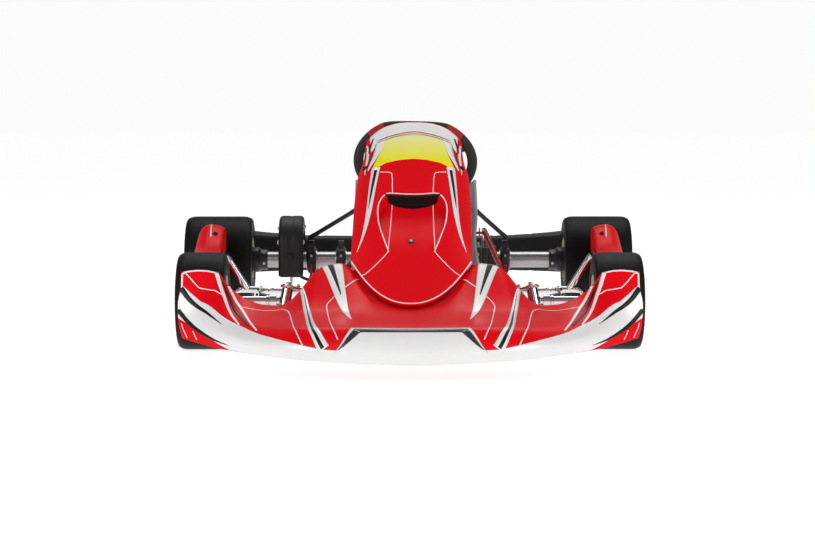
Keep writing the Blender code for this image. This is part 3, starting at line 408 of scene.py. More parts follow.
def curve_value(points, x):
    """A smooth curve through points whose first number is x; returns the other numbers."""
    last = len(points) - 1
    k = max(i for i in range(last) if i == 0 or points[i][0] <= x)

    def rate(i, n):
        return (points[i + 1][n] - points[i][n]) / (points[i + 1][0] - points[i][0])

    def slope(i, n):
        if i in (0, last):
            return rate(min(i, last - 1), n)
        before, after = rate(i - 1, n), rate(i, n)
        return 2 * before * after / (before + after) if before * after > 0 else 0.0

    span = points[k + 1][0] - points[k][0]
    t = min(max((x - points[k][0]) / span, 0.0), 1.0)
    return [points[k][n] * (1 + 2 * t) * (1 - t) ** 2 + points[k + 1][n] * t * t * (3 - 2 * t)
            + span * (slope(k, n) * t * (1 - t) ** 2 - slope(k + 1, n) * t * t * (1 - t))
            for n in range(1, len(points[0]))]


def at_front(x, y, z):
    return Vector((x, FRONT_Y + y, z))


def at_rear(x, y, z):
    return Vector((x, REAR_Y + y, AXLE_Z + z))


# %% Floor
half_wide = 14.0
corners = [(-half_wide, -half_wide), (half_wide, -half_wide), (half_wide, half_wide), (-half_wide, half_wide)]
floor_mesh = bmesh.new()
floor_mesh.faces.new([floor_mesh.verts.new((x, y, 0.0)) for x, y in corners])
data = bpy.data.meshes.new("studio_floor")
floor_mesh.to_mesh(data)
floor_mesh.free()
data.materials.append(floor_paint)
data.shade_smooth()
studio_floor = bpy.data.objects.new("studio_floor", data)
bpy.context.scene.collection.objects.link(studio_floor)


# %% [markdown]
# ## Screws, nuts and hairs
# Small things that repeat are placed by one Geometry Nodes tree. A mesh of loose points carries an
# "aim" for each point, and the tree stands a copy of the item on every point along its aim, with
# an optional random length. It ends in real geometry, so nothing is lost in an export.

# %% The tree that places repeated items
def placing_tree():
    tree = bpy.data.node_groups.new("place_items", 'GeometryNodeTree')
    sockets = {}
    for name, kind in (("Geometry", 'NodeSocketGeometry'), ("Item", 'NodeSocketObject'),
                       ("Size", 'NodeSocketFloat'), ("Shortest", 'NodeSocketFloat'),
                       ("Seed", 'NodeSocketInt'), ("Finish", 'NodeSocketMaterial')):
        sockets[name] = tree.interface.new_socket(name, in_out='INPUT', socket_type=kind).identifier
    tree.interface.new_socket("Geometry", in_out='OUTPUT', socket_type='NodeSocketGeometry')
    nodes, links = tree.nodes, tree.links
    start, end = nodes.new("NodeGroupInput"), nodes.new("NodeGroupOutput")
    item = nodes.new("GeometryNodeObjectInfo")
    aim = nodes.new("GeometryNodeInputNamedAttribute")
    aim.data_type = 'FLOAT_VECTOR'
    aim.inputs["Name"].default_value = "aim"
    turn = nodes.new("FunctionNodeAlignRotationToVector")
    turn.axis = 'Z'
    chance = nodes.new("FunctionNodeRandomValue")
    chance.data_type = 'FLOAT'
    chance.inputs[3].default_value = 1.0
    grow = nodes.new("ShaderNodeMath")
    grow.operation = 'MULTIPLY'
    stand = nodes.new("GeometryNodeInstanceOnPoints")
    real = nodes.new("GeometryNodeRealizeInstances")
    coat = nodes.new("GeometryNodeSetMaterial")
    links.new(start.outputs["Geometry"], stand.inputs["Points"])
    links.new(start.outputs["Item"], item.inputs["Object"])
    links.new(item.outputs["Geometry"], stand.inputs["Instance"])
    links.new(aim.outputs["Attribute"], turn.inputs["Vector"])
    links.new(turn.outputs["Rotation"], stand.inputs["Rotation"])
    links.new(start.outputs["Shortest"], chance.inputs[2])
    links.new(start.outputs["Seed"], chance.inputs["Seed"])
    links.new(chance.outputs[1], grow.inputs[0])
    links.new(start.outputs["Size"], grow.inputs[1])
    links.new(grow.outputs[0], stand.inputs["Scale"])
    links.new(stand.outputs["Instances"], real.inputs["Geometry"])
    links.new(real.outputs["Geometry"], coat.inputs["Geometry"])
    links.new(start.outputs["Finish"], coat.inputs["Material"])
    links.new(coat.outputs["Geometry"], end.inputs["Geometry"])
    return tree, sockets


placing, placing_sockets = placing_tree()


def scattered(name, item_bm, spots, material, body, size=1.0, shortest=1.0, seed=3):
    """Copies of an item at spots, a list of (place, aim)."""
    item_mesh = bpy.data.meshes.new(name + "_item")
    item_bm.to_mesh(item_mesh)
    item_bm.free()
    item_mesh.shade_smooth()
    item_mesh.set_sharp_from_angle(angle=math.radians(35))
    item = bpy.data.objects.new(name + "_item", item_mesh)
    points = bpy.data.meshes.new(name + "_points")
    points.from_pydata([p for p, _ in spots], [], [])
    aim = points.attributes.new("aim", 'FLOAT_VECTOR', 'POINT')
    for i, (_, direction) in enumerate(spots):
        aim.data[i].vector = Vector(direction).normalized()
    holder = bpy.data.objects.new(name + "_points", points)
    for thing in (item, holder):
        bpy.context.scene.collection.objects.link(thing)
    modifier = holder.modifiers.new("place", 'NODES')
    modifier.node_group = placing
    for key, value in (("Item", item), ("Size", size), ("Shortest", shortest), ("Seed", seed),
                       ("Finish", material)):
        modifier[placing_sockets[key]] = value
    bpy.context.view_layer.update()
    seen = holder.evaluated_get(bpy.context.evaluated_depsgraph_get())
    mesh = bpy.data.meshes.new_from_object(seen)
    for thing in (item, holder):
        bpy.data.objects.remove(thing)
    mesh.name = name
    made = bpy.data.objects.new(name, mesh)
    bpy.context.scene.collection.objects.link(made)
    return handed(made, body)


def hex_head(across, height, washer_out=0.0):
    """A hexagon head or nut on a flat washer, standing on local Z = 0."""
    lift = 0.0012 if washer_out else 0.0
    head = lathe([(lift, 0), (lift, across / 2), (lift + height * 0.8, across / 2),
                  (lift + height, across * 0.42), (lift + height, 0)], axis=Z, sides=6)
    if not washer_out:
        return head
    return joined(head, lathe([(0, 0), (0, washer_out), (lift, washer_out), (lift, 0)], axis=Z, sides=20))


def cap_head(radius, height, washer_out=0.0):
    """A socket screw's head: a drum with a six-sided well."""
    lift = 0.0012 if washer_out else 0.0
    top = lift + height
    outer = [(lift, radius), (top - radius * 0.15, radius), (top, radius * 0.85), (top, radius * 0.50),
             (top - height * 0.6, radius * 0.50), (top - height * 0.6, 0.0)]
    drum = lathe([(lift, 0)] + outer, axis=Z, sides=12)
    if not washer_out:
        return drum
    return joined(drum, lathe([(0, 0), (0, washer_out), (lift, washer_out), (lift, 0)], axis=Z, sides=20))


# %% [markdown]
# ## The nose
# The nose is one rotationally moulded skin, wider than the track, that dips behind each wheel and
# rises to a shoulder beside the front panel. Five guide lines run across it from the lower lip to
# the rear edge, and a smooth curve joins them. The same surface later carries the graphics, so it
# is a function that any piece can ask for a point.

# %% The nose's surface
NOSE_LINES = [
    [(0, -0.600, 0.044), (0.130, -0.590, 0.047), (0.259, -0.560, 0.050), (0.393, -0.480, 0.054),
     (0.473, -0.400, 0.055), (0.530, -0.346, 0.060), (0.588, -0.300, 0.069)],
    [(0, -0.596, 0.076), (0.130, -0.586, 0.078), (0.259, -0.554, 0.080), (0.393, -0.472, 0.084),
     (0.473, -0.388, 0.092), (0.530, -0.334, 0.100), (0.588, -0.294, 0.104)],
    [(0, -0.560, 0.125), (0.130, -0.553, 0.125), (0.240, -0.522, 0.121), (0.363, -0.440, 0.115),
     (0.440, -0.366, 0.124), (0.520, -0.308, 0.150), (0.588, -0.284, 0.152)],
    [(0, -0.430, 0.141), (0.130, -0.410, 0.146), (0.240, -0.380, 0.146), (0.340, -0.350, 0.134),
     (0.440, -0.306, 0.152), (0.500, -0.280, 0.194), (0.588, -0.272, 0.198)],
    [(0, -0.322, 0.147), (0.075, -0.290, 0.162), (0.145, -0.218, 0.230), (0.180, -0.214, 0.250),
     (0.216, -0.220, 0.2465), (0.245, -0.232, 0.231), (0.265, -0.242, 0.208), (0.292, -0.256, 0.176),
     (0.315, -0.264, 0.156), (0.341, -0.268, 0.149), (0.378, -0.268, 0.151), (0.409, -0.266, 0.160),
     (0.444, -0.264, 0.179), (0.472, -0.262, 0.203), (0.490, -0.262, 0.229), (0.540, -0.262, 0.238),
     (0.588, -0.262, 0.234)],
]
NOSE_HALF_WIDTH = [(0, 0.574), (1, 0.583), (2, 0.586), (3, 0.579), (4, 0.579)]
NOSE_LINE_END = 0.588
NOSE_ROWS, NOSE_COLUMNS = 56, 101
SHELL = 0.0035


def nose_point(x, row):
    """Row 0 is the lower lip, row 4 the rear edge; x runs to the end of the guide lines."""
    guides = [(i, *curve_value([(-line[1][0], *line[1][1:])] + line, abs(x)))
              for i, line in enumerate(NOSE_LINES)]
    y, z = curve_value(guides, min(max(row, 0), 4))
    (half,) = curve_value(NOSE_HALF_WIDTH, row)
    return at_front(math.copysign(abs(x) * half / NOSE_LINE_END, x), y, z)


half_columns = [NOSE_LINE_END * i / (NOSE_COLUMNS - 1) for i in range(NOSE_COLUMNS)]
nose_columns = [-x for x in half_columns[:0:-1]] + half_columns
nose_rows = [4 * i / NOSE_ROWS for i in range(NOSE_ROWS + 1)]
nose_bm = facing(skin([[nose_point(x, row) for row in nose_rows] for x in nose_columns], wrap=False),
                 lambda c: -Y + Z * 0.3)
piece("nose", nose_bm, red_plastic, "chassis", "nose_fairing", wall=SHELL, angle=50)
flange_bm = skin([[nose_point(0.146 * i / 40, 4) + Vector((0, 1, 0.6)) * d - Z * 0.003 for d in
                   (-0.004, 0.006, 0.016, 0.026, 0.036)] for i in range(-40, 41)], wrap=False)
piece("nose_flange", facing(flange_bm, lambda c: Z), red_plastic, "chassis", wall=0.002,
      angle=50)


# %% [markdown]
# ## Graphics
# A kart's colours are printed vinyl laid on red plastic. Each colour here is a thin film with its
# own edges, laid on the surface function, so its borders stay sharp from any distance. Two films
# are enough: `field` fills between two edges, and `stripe` follows a middle line with a width that
# may taper. Both are mirrored to the other side.

# %% Films on a surface
FILM = 0.00025


def normal_on(surface, a, b, outward):
    step = 0.004
    du = surface(a + step, b) - surface(a - step, b)
    dv = surface(a, b + step) - surface(a, b - step)
    n = du.cross(dv).normalized()
    return n if n.dot(outward) > 0 else -n


def spread_points(points, count):
    """Points along a polyline at equal steps of its own length, corners kept soft."""
    lengths = [0.0]
    for p, q in zip(points, points[1:]):
        lengths.append(lengths[-1] + math.dist(p[:2], q[:2]))
    out = []
    for i in range(count):
        s = lengths[-1] * i / (count - 1)
        k = max(j for j in range(len(points) - 1) if j == 0 or lengths[j] <= s)
        t = (s - lengths[k]) / max(lengths[k + 1] - lengths[k], 1e-9)
        out.append([a + (b - a) * min(t, 1.0) for a, b in zip(points[k], points[k + 1])])
    return out


def rounded(points, passes=2):
    """Corner cutting, ends kept; works on points of any number of values."""
    for _ in range(passes):
        cut = [points[0]]
        for p, q in zip(points, points[1:]):
            cut += [[a * 0.75 + b * 0.25 for a, b in zip(p, q)], [a * 0.25 + b * 0.75 for a, b in zip(p, q)]]
        points = cut + [points[-1]]
    return points


def film_rings(surface, outward, pairs, across, lift):
    """Points between pairs of surface positions, one ring for each pair."""
    rings = []
    for (a, b), (c, d) in pairs:
        spots = [(a + (c - a) * k / across, b + (d - b) * k / across) for k in range(across + 1)]
        rings.append([surface(u, v) + normal_on(surface, u, v, outward) * lift for u, v in spots])
    return rings


class Graphics:
    """Gathers the films of one surface, colour by colour, and lays them as one piece each."""

    def __init__(self, name, surface, outward, body):
        self.name, self.surface, self.outward, self.body = name, surface, outward, body
        self.parts = {}

    def keep(self, material, rings):
        bm = facing(skin(rings, wrap=False), lambda c: self.outward)
        self.parts.setdefault(material.name, (material, []))[1].append(bm)

    def field(self, material, lower, upper, lift=1, steps=40, across=16, mirror=False):
        """Fills between two edges given as matching lists of surface positions."""
        joint = [list(a) + list(b) for a, b in zip(lower, upper)]
        rows = spread_wide(joint, steps)
        pairs = [((r[0], r[1]), (r[2], r[3])) for r in rows]
        for sign in ((1, -1) if mirror else (1,)):
            turned_pairs = [((a * sign, b), (c * sign, d)) for (a, b), (c, d) in pairs]
            self.keep(material,
                      film_rings(self.surface, self.outward, turned_pairs, across, FILM * (lift + 1)))

    def stripe(self, material, line, lift=2, steps=44, mirror=True, soft=2):
        """Follows (a, b, width) points; the width is in metres."""
        rows = spread_points(rounded([list(p) for p in line], soft), steps)
        for sign in ((1, -1) if mirror else (1,)):
            centre = [self.surface(r[0] * sign, r[1]) for r in rows]
            rings = []
            for i, r in enumerate(rows):
                n = normal_on(self.surface, r[0] * sign, r[1], self.outward)
                along = centre[min(i + 1, steps - 1)] - centre[max(i - 1, 0)]
                side = n.cross(along).normalized() * max(r[2], 0.0004) / 2
                rings.append([centre[i] + side * k + n * FILM * (lift + 1) for k in (-1, -0.33, 0.33, 1)])
            self.keep(material, rings)

    def lay(self):
        for material, parts in self.parts.values():
            piece(f"{self.name}_{material.name}", joined(*parts), material, self.body,
                  wall=FILM * 0.8, angle=60)


def spread_wide(rows, count):
    """Like spread_points, but stepped by the longer of two edges."""
    lengths = [0.0]
    for p, q in zip(rows, rows[1:]):
        lengths.append(lengths[-1] + max(math.dist(p[:2], q[:2]), math.dist(p[2:], q[2:])))
    out = []
    for i in range(count):
        s = lengths[-1] * i / (count - 1)
        k = max(j for j in range(len(rows) - 1) if j == 0 or lengths[j] <= s)
        t = min((s - lengths[k]) / max(lengths[k + 1] - lengths[k], 1e-9), 1.0)
        out.append([a + (b - a) * t for a, b in zip(rows[k], rows[k + 1])])
    return out


# %% The nose's colours
nose_art = Graphics("nose", nose_point, -Y + Z * 0.4, "chassis")
belt_low = [(0, 0.0), (0.20, 0.0), (0.30, 0.0), (0.40, 0.0), (0.455, 0.03), (0.484, 0.30),
            (0.530, 0.78), (0.560, 1.07), (0.5875, 1.35)]
belt_high = [(0, 0.95), (0.215, 0.98), (0.265, 1.175), (0.363, 1.52), (0.417, 1.76), (0.476, 1.94),
             (0.530, 2.25), (0.562, 2.68), (0.5875, 3.10)]
belt_edges = [[(-x, row) for x, row in edge[:0:-1]] + edge for edge in (belt_low, belt_high)]
nose_art.field(white_film, *belt_edges, lift=1, steps=221, across=26)
nose_art.field(white_film, [(-0.186, 0.80), (0, 0.80), (0.186, 0.80)],
               [(-0.143, 2.10), (0, 2.10), (0.143, 2.10)], lift=1.5, steps=50, across=18)
nose_art.stripe(black_film,
                [(0.5875, 2.88, 0.014), (0.558, 2.25, 0.012), (0.522, 1.80, 0.009), (0.470, 1.52, 0.001)])
nose_art.stripe(black_film,
                [(0.5875, 1.76, 0.012), (0.558, 1.10, 0.011), (0.516, 0.60, 0.008), (0.455, 0.34, 0.001)])
nose_art.stripe(white_film, [(0.580, 1.10, 0.0022), (0.572, 0.15, 0.0022)])
nose_art.stripe(white_film, [(0.551, 0.75, 0.0022), (0.545, 0.20, 0.0022)])
nose_art.stripe(white_film, [(0.280, 3.98, 0.012), (0.252, 2.60, 0.018), (0.210, 1.02, 0.030)])
nose_art.stripe(black_film, [(0.272, 3.70, 0.001), (0.250, 2.50, 0.005), (0.213, 1.06, 0.010)], lift=3)
nose_art.field(white_film, [(0.228, 3.99), (0.147, 2.66)], [(0.176, 3.99), (0.146, 2.70)], lift=2, across=8,
               mirror=True)
nose_art.field(black_film, [(0.214, 3.985), (0.177, 3.42)], [(0.199, 3.985), (0.176, 3.46)], lift=3, across=4,
               mirror=True)
nose_art.stripe(white_film, [(0.497, 3.98, 0.010), (0.481, 2.90, 0.009), (0.425, 1.80, 0.004)])
nose_art.stripe(black_film, [(0.482, 3.75, 0.003), (0.452, 2.75, 0.011), (0.400, 1.90, 0.004)])
nose_art.stripe(white_film, [(0.466, 3.98, 0.008), (0.433, 2.90, 0.008), (0.378, 1.74, 0.004)])
nose_art.stripe(white_film, [(0.497, 3.985, 0.004), (0.540, 3.97, 0.004), (0.584, 3.95, 0.004),
                             (0.585, 3.50, 0.004), (0.585, 2.95, 0.004)], soft=1)
nose_art.stripe(white_film, [(0.580, 3.98, 0.0028), (0.545, 2.98, 0.0028), (0.530, 2.90, 0.0028),
                             (0.481, 2.85, 0.0028)], soft=1)
nose_art.stripe(white_film, [(0.430, 3.02, 0.0028), (0.358, 3.35, 0.0028), (0.318, 3.60, 0.0028),
                             (0.289, 2.27, 0.0028), (0.262, 1.17, 0.0028)], soft=1)
nose_art.stripe(white_film, [(0.131, 3.92, 0.0026), (0.166, 3.57, 0.0026), (0.212, 3.27, 0.0026),
                             (0.212, 3.10, 0.0026), (0.176, 1.50, 0.0026)], soft=1)
carbon = finish("carbon_film", (0.020, 0.020, 0.022), (0.045, 0.045, 0.048), (0.22, 0.30), coat=0.8,
                cell=0.004, grain=0.002, bump=0.1)
nose_art.field(carbon, [(-0.128, 1.84), (0, 1.84), (0.128, 1.84)],
               [(-0.136, 2.035), (0, 2.035), (0.136, 2.035)],
               lift=2.5, steps=40, across=5)
nose_art.field(carbon, [(0.120, 1.84), (0.176, 0.98)], [(0.136, 2.035), (0.178, 0.98)], lift=2.6, steps=20,
               across=4, mirror=True)
nose_art.lay()


# %% [markdown]
# ## The front panel
# The tall panel carries the number and hides the column. It is crowned, its flanks wrap back, and
# its middle is pressed in; a black sheet of painted shade lies across the top of the pressing. The
# pressing is part of the surface function, so the graphics follow it down.

# %% The panel's surface
PANEL_MIDDLE = [(0.0, 0.000, -0.338, 0.157), (0.28, 0.003, -0.205, 0.266), (0.60, 0.007, -0.050, 0.412),
                (0.82, 0.010, 0.055, 0.510), (1.0, 0.012, 0.130, 0.597)]
PANEL_HALF_WIDTH = [(0.0, 0.160), (0.25, 0.156), (0.60, 0.154), (0.76, 0.148), (0.86, 0.134), (0.94, 0.128),
                    (1.0, 0.118)]
PANEL_WRAP = [(0.0, 0.000), (0.25, 0.010), (0.60, 0.050), (0.85, 0.050), (1.0, 0.030)]
PANEL_ARC, PANEL_CROWN = 0.27, 0.050
PRESSING = [(0.270, 0.33), (0.347, 0.463), (0.413, 0.550), (0.491, 0.575), (0.541, 0.550), (0.580, 0.480),
            (0.600, 0.380)]
PRESS_LOW, PRESS_HIGH, PRESS_DEPTH = 0.285, 0.592, 0.026


def gentle(value, low, high):
    t = min(max((value - low) / (high - low), 0.0), 1.0)
    return t * t * (3 - 2 * t)


def pressed(u, v):
    """How deep the pressing is, in metres."""
    if not PRESS_LOW < v < PRESS_HIGH + 0.02:
        return 0.0
    (half,) = curve_value(PRESSING, v)
    ramp = gentle(v, PRESS_LOW, 0.575)
    top = 1 - gentle(v, PRESS_HIGH - 0.010, PRESS_HIGH + 0.003)
    return PRESS_DEPTH * ramp * top * (1 - gentle(abs(u), half - 0.055, half))


def panel_plain(u, v):
    low = PANEL_ARC * abs(u) ** 2.2
    high = 1 - PANEL_CROWN * abs(u) ** 2.5
    way = low + (high - low) * v
    x, y, z = curve_value(PANEL_MIDDLE, way)
    (half,) = curve_value(PANEL_HALF_WIDTH, way)
    (wrap,) = curve_value(PANEL_WRAP, way)
    back = wrap * (0.25 * u * u + 0.75 * abs(u) ** 5) * math.sqrt(0.5)
    return at_front(x + half * u, y + back, z - back)


def panel_point(u, v):
    """The panel's outer skin; u from -1 to 1 across, v from 0 to 1 upwards."""
    return panel_plain(u, v) + Vector((0, 1, -1)).normalized() * pressed(u, v)


panel_across = [-1 + 2 * i / 150 for i in range(151)]
panel_up = [i / 190 for i in range(191)]
lip = [[panel_point(u, 0) + Vector((0, 1, -0.5)) * 0.002 * d for u in panel_across] for d in range(8, 0, -1)]
panel_bm = facing(skin(lip + [[panel_point(u, v) for u in panel_across] for v in panel_up], wrap=False),
                  lambda c: -Y + Z)
panel_red = finish("panel_red", (0.84, 0.003, 0.010), (0.76, 0.003, 0.009), (0.28, 0.36), coat=0.02,
                   cell=0.25, grain=0.004, bump=0.03, shine=0.06)
piece("panel", panel_bm, panel_red, "chassis", "front_panel", wall=SHELL, angle=50)

# %% The panel's colours
yellow_film = finish("yellow_film", (0.90, 0.83, 0.012), (0.87, 0.80, 0.020), (0.22, 0.30), coat=0.05,
                     cell=0.12, grain=0.003, bump=0.02, shine=0.25)
nodes, links, shader = links_of(yellow_film)
height = nodes.new("ShaderNodeSeparateXYZ")
links.new(nodes["Texture Coordinate"].outputs["Object"], height.inputs["Vector"])
fading = add(nodes, "ShaderNodeMapRange", From_Min=0.500, From_Max=0.553, To_Min=0.0, To_Max=0.75)
links.new(height.outputs["Z"], fading.inputs["Value"])
strong = shader.inputs["Base Color"].links[0].from_socket
links.new(mixed(nodes, links, fading.outputs["Result"], strong, (0.86, 0.83, 0.42)),
          shader.inputs["Base Color"])
panel_art = Graphics("panel", panel_point, -Y + Z, "chassis")
top_low = [(-0.86, 0.880), (-0.738, 0.908), (-0.39, 0.918), (0, 0.932), (0.39, 0.918), (0.738, 0.908),
           (0.86, 0.880)]
top_high = [(-0.93, 0.992), (-0.75, 0.995), (-0.39, 0.997), (0, 0.997), (0.39, 0.997), (0.75, 0.995),
            (0.93, 0.992)]
panel_art.field(white_film, top_low, top_high, lift=1, steps=80, across=12)
yellow_low = [(-0.755, 0.728), (-0.66, 0.752), (-0.50, 0.780), (-0.25, 0.797), (0, 0.803), (0.25, 0.797),
              (0.50, 0.780), (0.66, 0.752), (0.755, 0.728)]
yellow_high = [(-0.620, 0.913), (-0.50, 0.920), (-0.36, 0.926), (-0.18, 0.931), (0, 0.933), (0.18, 0.931),
               (0.36, 0.926), (0.50, 0.920), (0.620, 0.913)]
panel_art.field(yellow_film, yellow_low, yellow_high, lift=2, steps=90, across=26)
panel_art.stripe(red_film, [(-0.76, 0.925, 0.003), (-0.39, 0.935, 0.003), (0, 0.950, 0.003),
                            (0.39, 0.935, 0.003), (0.76, 0.925, 0.003)], lift=3, mirror=False)
panel_art.stripe(black_film, [(-0.74, 0.915, 0.0014), (-0.39, 0.925, 0.0014), (0, 0.940, 0.0014),
                              (0.39, 0.925, 0.0014), (0.74, 0.915, 0.0014)], lift=4, mirror=False)
panel_art.stripe(white_film, [(0.665, 0.930, 0.022), (0.740, 0.845, 0.020), (0.815, 0.745, 0.004)], lift=2)
panel_art.stripe(black_film, [(0.755, 0.915, 0.004), (0.800, 0.850, 0.009), (0.845, 0.770, 0.002)], lift=3)
panel_art.stripe(white_film,
                 [(0.670, 0.755, 0.024), (0.720, 0.50, 0.017), (0.790, 0.33, 0.009), (0.905, 0.134, 0.001)],
                 lift=2)
panel_art.stripe(black_film, [(0.668, 0.740, 0.009), (0.712, 0.58, 0.006), (0.742, 0.49, 0.001)], lift=3)
panel_art.stripe(white_film,
                 [(0.970, 0.955, 0.006), (0.930, 0.905, 0.012), (0.90, 0.83, 0.010), (0.86, 0.72, 0.002)],
                 lift=2)
panel_art.stripe(black_film, [(0.845, 0.962, 0.004), (0.890, 0.920, 0.009), (0.905, 0.88, 0.002)], lift=3)
panel_art.stripe(red_film, [(0.975, 0.945, 0.007), (0.978, 0.866, 0.005)], lift=4, soft=0)
panel_art.stripe(white_film, [(0.587, 0.725, 0.0022), (0.410, 0.725, 0.0022), (0.365, 0.715, 0.0022),
                              (0.345, 0.604, 0.0022)], lift=2, soft=1)
arch = [(0.375, 0.286, 0.0032), (0.463, 0.347, 0.0032), (0.557, 0.413, 0.0032), (0.590, 0.491, 0.0032),
        (0.565, 0.548, 0.0032), (0.475, 0.594, 0.0032), (0.380, 0.606, 0.0032), (0.20, 0.606, 0.0032),
        (0.0, 0.606, 0.0032)]
panel_art.stripe(white_film, arch, lift=2, steps=80, soft=2)
panel_art.stripe(white_film, [(0.375, 0.290, 0.0024), (0.587, 0.169, 0.0024), (0.800, 0.010, 0.0024)], lift=2)
panel_art.stripe(white_film, [(0.346, 0.580, 0.0020), (0.365, 0.42, 0.0020), (0.387, 0.290, 0.0020)], lift=2)
panel_art.stripe(white_film, [(-0.985, 0.010, 0.0032), (-0.80, 0.010, 0.0032), (-0.45, 0.010, 0.0032),
                              (0, 0.010, 0.0032), (0.45, 0.010, 0.0032), (0.80, 0.010, 0.0032),
                              (0.985, 0.010, 0.0032)], lift=2, steps=120, mirror=False)
# Painted shade: a black sheet across the top of the pressing stands for the shadow inside the recess.
panel_art.field(black_film,
                [(-0.480, 0.593), (-0.40, 0.579), (-0.22, 0.565), (0, 0.560), (0.22, 0.565), (0.40, 0.579),
                               (0.480, 0.593)],
                [(-0.478, 0.596), (-0.36, 0.598), (-0.2, 0.599), (0, 0.599), (0.2, 0.599), (0.36, 0.598),
                 (0.478, 0.596)], lift=4, steps=60,
                across=40)
panel_art.lay()


def on_panel(u, v, lift=0.0):
    n = normal_on(panel_point, u, v, -Y + Z)
    return panel_point(u, v) + n * lift, n


scattered("panel_fasteners", cap_head(0.0042, 0.003, 0.0075),
          [on_panel(s * 0.895, 0.775, 0.001) for s in (1, -1)],
          black_metal, "chassis")
scattered("panel_lower_washer", lathe([(0, 0), (0, 0.0085), (0.0015, 0.0080), (0.0015, 0)], axis=Z, sides=28),
          [on_panel(-0.012, 0.366, 0.001)], black_metal, "chassis")
scattered("panel_lower_screw", cap_head(0.0042, 0.0028), [on_panel(-0.012, 0.366, 0.0024)], zinc, "chassis")


# %% [markdown]
# ## Slick tyres
# A slick has no tread: a nearly square shoulder, a slightly bulged wall and a raised bead ring.
# Fresh slicks still wear the fine rubber hairs left by the mould's vents, all along the shoulder
# and wall, so those are placed one by one.

# %% Tyres
FRONT_HALF_WIDTH, FRONT_TYRE_W, FRONT_TYRE_R = 0.6130, 0.1300, 0.1285
REAR_HALF_WIDTH, REAR_TYRE_W, REAR_TYRE_R = 0.6920, 0.2080, 0.1350
BEAD_R, FLANGE_R, RIM_WELL_R, RIM_WALL, RIM_INSET = 0.0632, 0.0700, 0.0580, 0.0045, 0.0015
TYRE_SIDES = 128


def tyre_half(shoulder, radius):
    """One wall and shoulder of a slick: (from the wall, radius)."""
    points = [(0.0095, BEAD_R + 0.0008), (0.0028, FLANGE_R - 0.0010), (0.0022, FLANGE_R + 0.0016),
              (0.0034, FLANGE_R + 0.0034), (0.0012, FLANGE_R + 0.0056), (0.0006, radius * 0.640),
              (0.0000, radius * 0.70), (0.0000, radius * 0.745), (0.0008, radius * 0.755),
              (0.0000, radius * 0.765), (0.0008, radius * 0.82)]
    for k in range(1, 13):
        angle = math.pi / 2 * k / 12
        points.append((0.0012 + shoulder * (1 - math.cos(angle)) ** 1.25,
                       radius * 0.86 + radius * 0.14 * math.sin(angle) ** 0.9))
    return points


def tyre(name, side, inner, outer, radius, body, centre):
    shoulder = 0.034 if outer - inner > 0.15 else 0.027
    half = tyre_half(shoulder, radius)
    middle = [((outer - inner) * k / 8, radius) for k in range(2, 7)]
    profile = ([(inner + x, r) for x, r in half] + [(inner + x, r) for x, r in middle]
               + [(outer - x, r) for x, r in half[::-1]])
    piece(name, lathe(profile, centre, X * side, TYRE_SIDES), rubber, body, name, angle=50)
    hairs = []
    for row, (x, r, lean) in enumerate(((half[15][0], half[15][1], 0.35), (half[19][0], half[19][1], 0.75),
                                        (0.001, radius * 0.80, 0.05))):
        for end in (inner + x, outer - x):
            outwards = -1 if end < (inner + outer) / 2 else 1
            count = 46 if row < 2 else 30
            for k in range(count):
                a = 2 * math.pi * (k + 0.37 * row) / count
                spoke = Vector((0, math.cos(a), math.sin(a)))
                spot = centre + X * side * end + spoke * (r - 0.0003)
                hairs.append((spot, X * side * outwards * (1 - lean) + spoke * (lean + 0.1)))
    hair = skin([[Vector((0.00045 * w * math.cos(t), 0.00045 * w * math.sin(t), z))
                  for t in (0, 2.1, 4.2)] for z, w in ((0, 1.2), (0.003, 0.8), (0.006, 0.3))])
    scattered(name + "_hairs", hair, hairs, rubber, body, shortest=0.25, seed=11)


for name, side in SIDES.items():
    tyre("front_tyre_" + name, side, FRONT_HALF_WIDTH - FRONT_TYRE_W, FRONT_HALF_WIDTH, FRONT_TYRE_R,
         "front_wheel_" + name, at_front(0, 0, FRONT_R))
    tyre("rear_tyre_" + name, side, REAR_HALF_WIDTH - REAR_TYRE_W, REAR_HALF_WIDTH, REAR_TYRE_R,
         "rear_axle_assembly", at_rear(0, 0, 0))


# %% [markdown]
# ## Cast rims
# The rims are cast magnesium: a barrel with two flanges, a thin dished disc with round windows, and
# a hub. The barrel is turned; the disc is a flat plate with its windows left open between spokes.

# %% Rims
def spoked_disc(x_low, x_high, inner, outer, windows, centre, side, share=0.62):
    """A disc with windows: sectors of full plate alternate with open ones between two rings."""
    steps = 8
    solid = share
    parts = [washer(centre + X * side * x_low, centre + X * side * x_high, inner + 0.010, inner, 64),
             washer(centre + X * side * x_low, centre + X * side * x_high, outer, outer - 0.008, 64)]
    for k in range(windows):
        start, end = 2 * math.pi * k / windows, 2 * math.pi * (k + 1 - solid) / windows
        rings = []
        for i in range(steps + 1):
            a = start + (end - start) * i / steps
            spoke = Vector((0, math.cos(a), math.sin(a)))
            rings.append([centre + X * side * x + spoke * r
                          for x, r in ((x_low, inner + 0.008), (x_high, inner + 0.008),
                                       (x_high, outer - 0.006),
                                       (x_low, outer - 0.006))])
        parts.append(skin(rings))
    return parts


def barrel(inner, outer):
    low = RIM_WELL_R - RIM_WALL
    left = [(inner + 0.0008, FLANGE_R - 0.0042), (inner, FLANGE_R - 0.0030), (inner, FLANGE_R - 0.0008),
            (inner + 0.0012, FLANGE_R), (inner + 0.0026, FLANGE_R - 0.0012), (inner + 0.0060, BEAD_R),
            (inner + 0.0150, BEAD_R - 0.0006), (inner + 0.0185, BEAD_R - 0.0006),
            (inner + 0.0260, RIM_WELL_R)]
    right = [(outer - (x - inner), r) for x, r in left[::-1]]
    inside = [(outer - 0.0260, low), (inner + 0.0260, low)]
    return left + right + inside


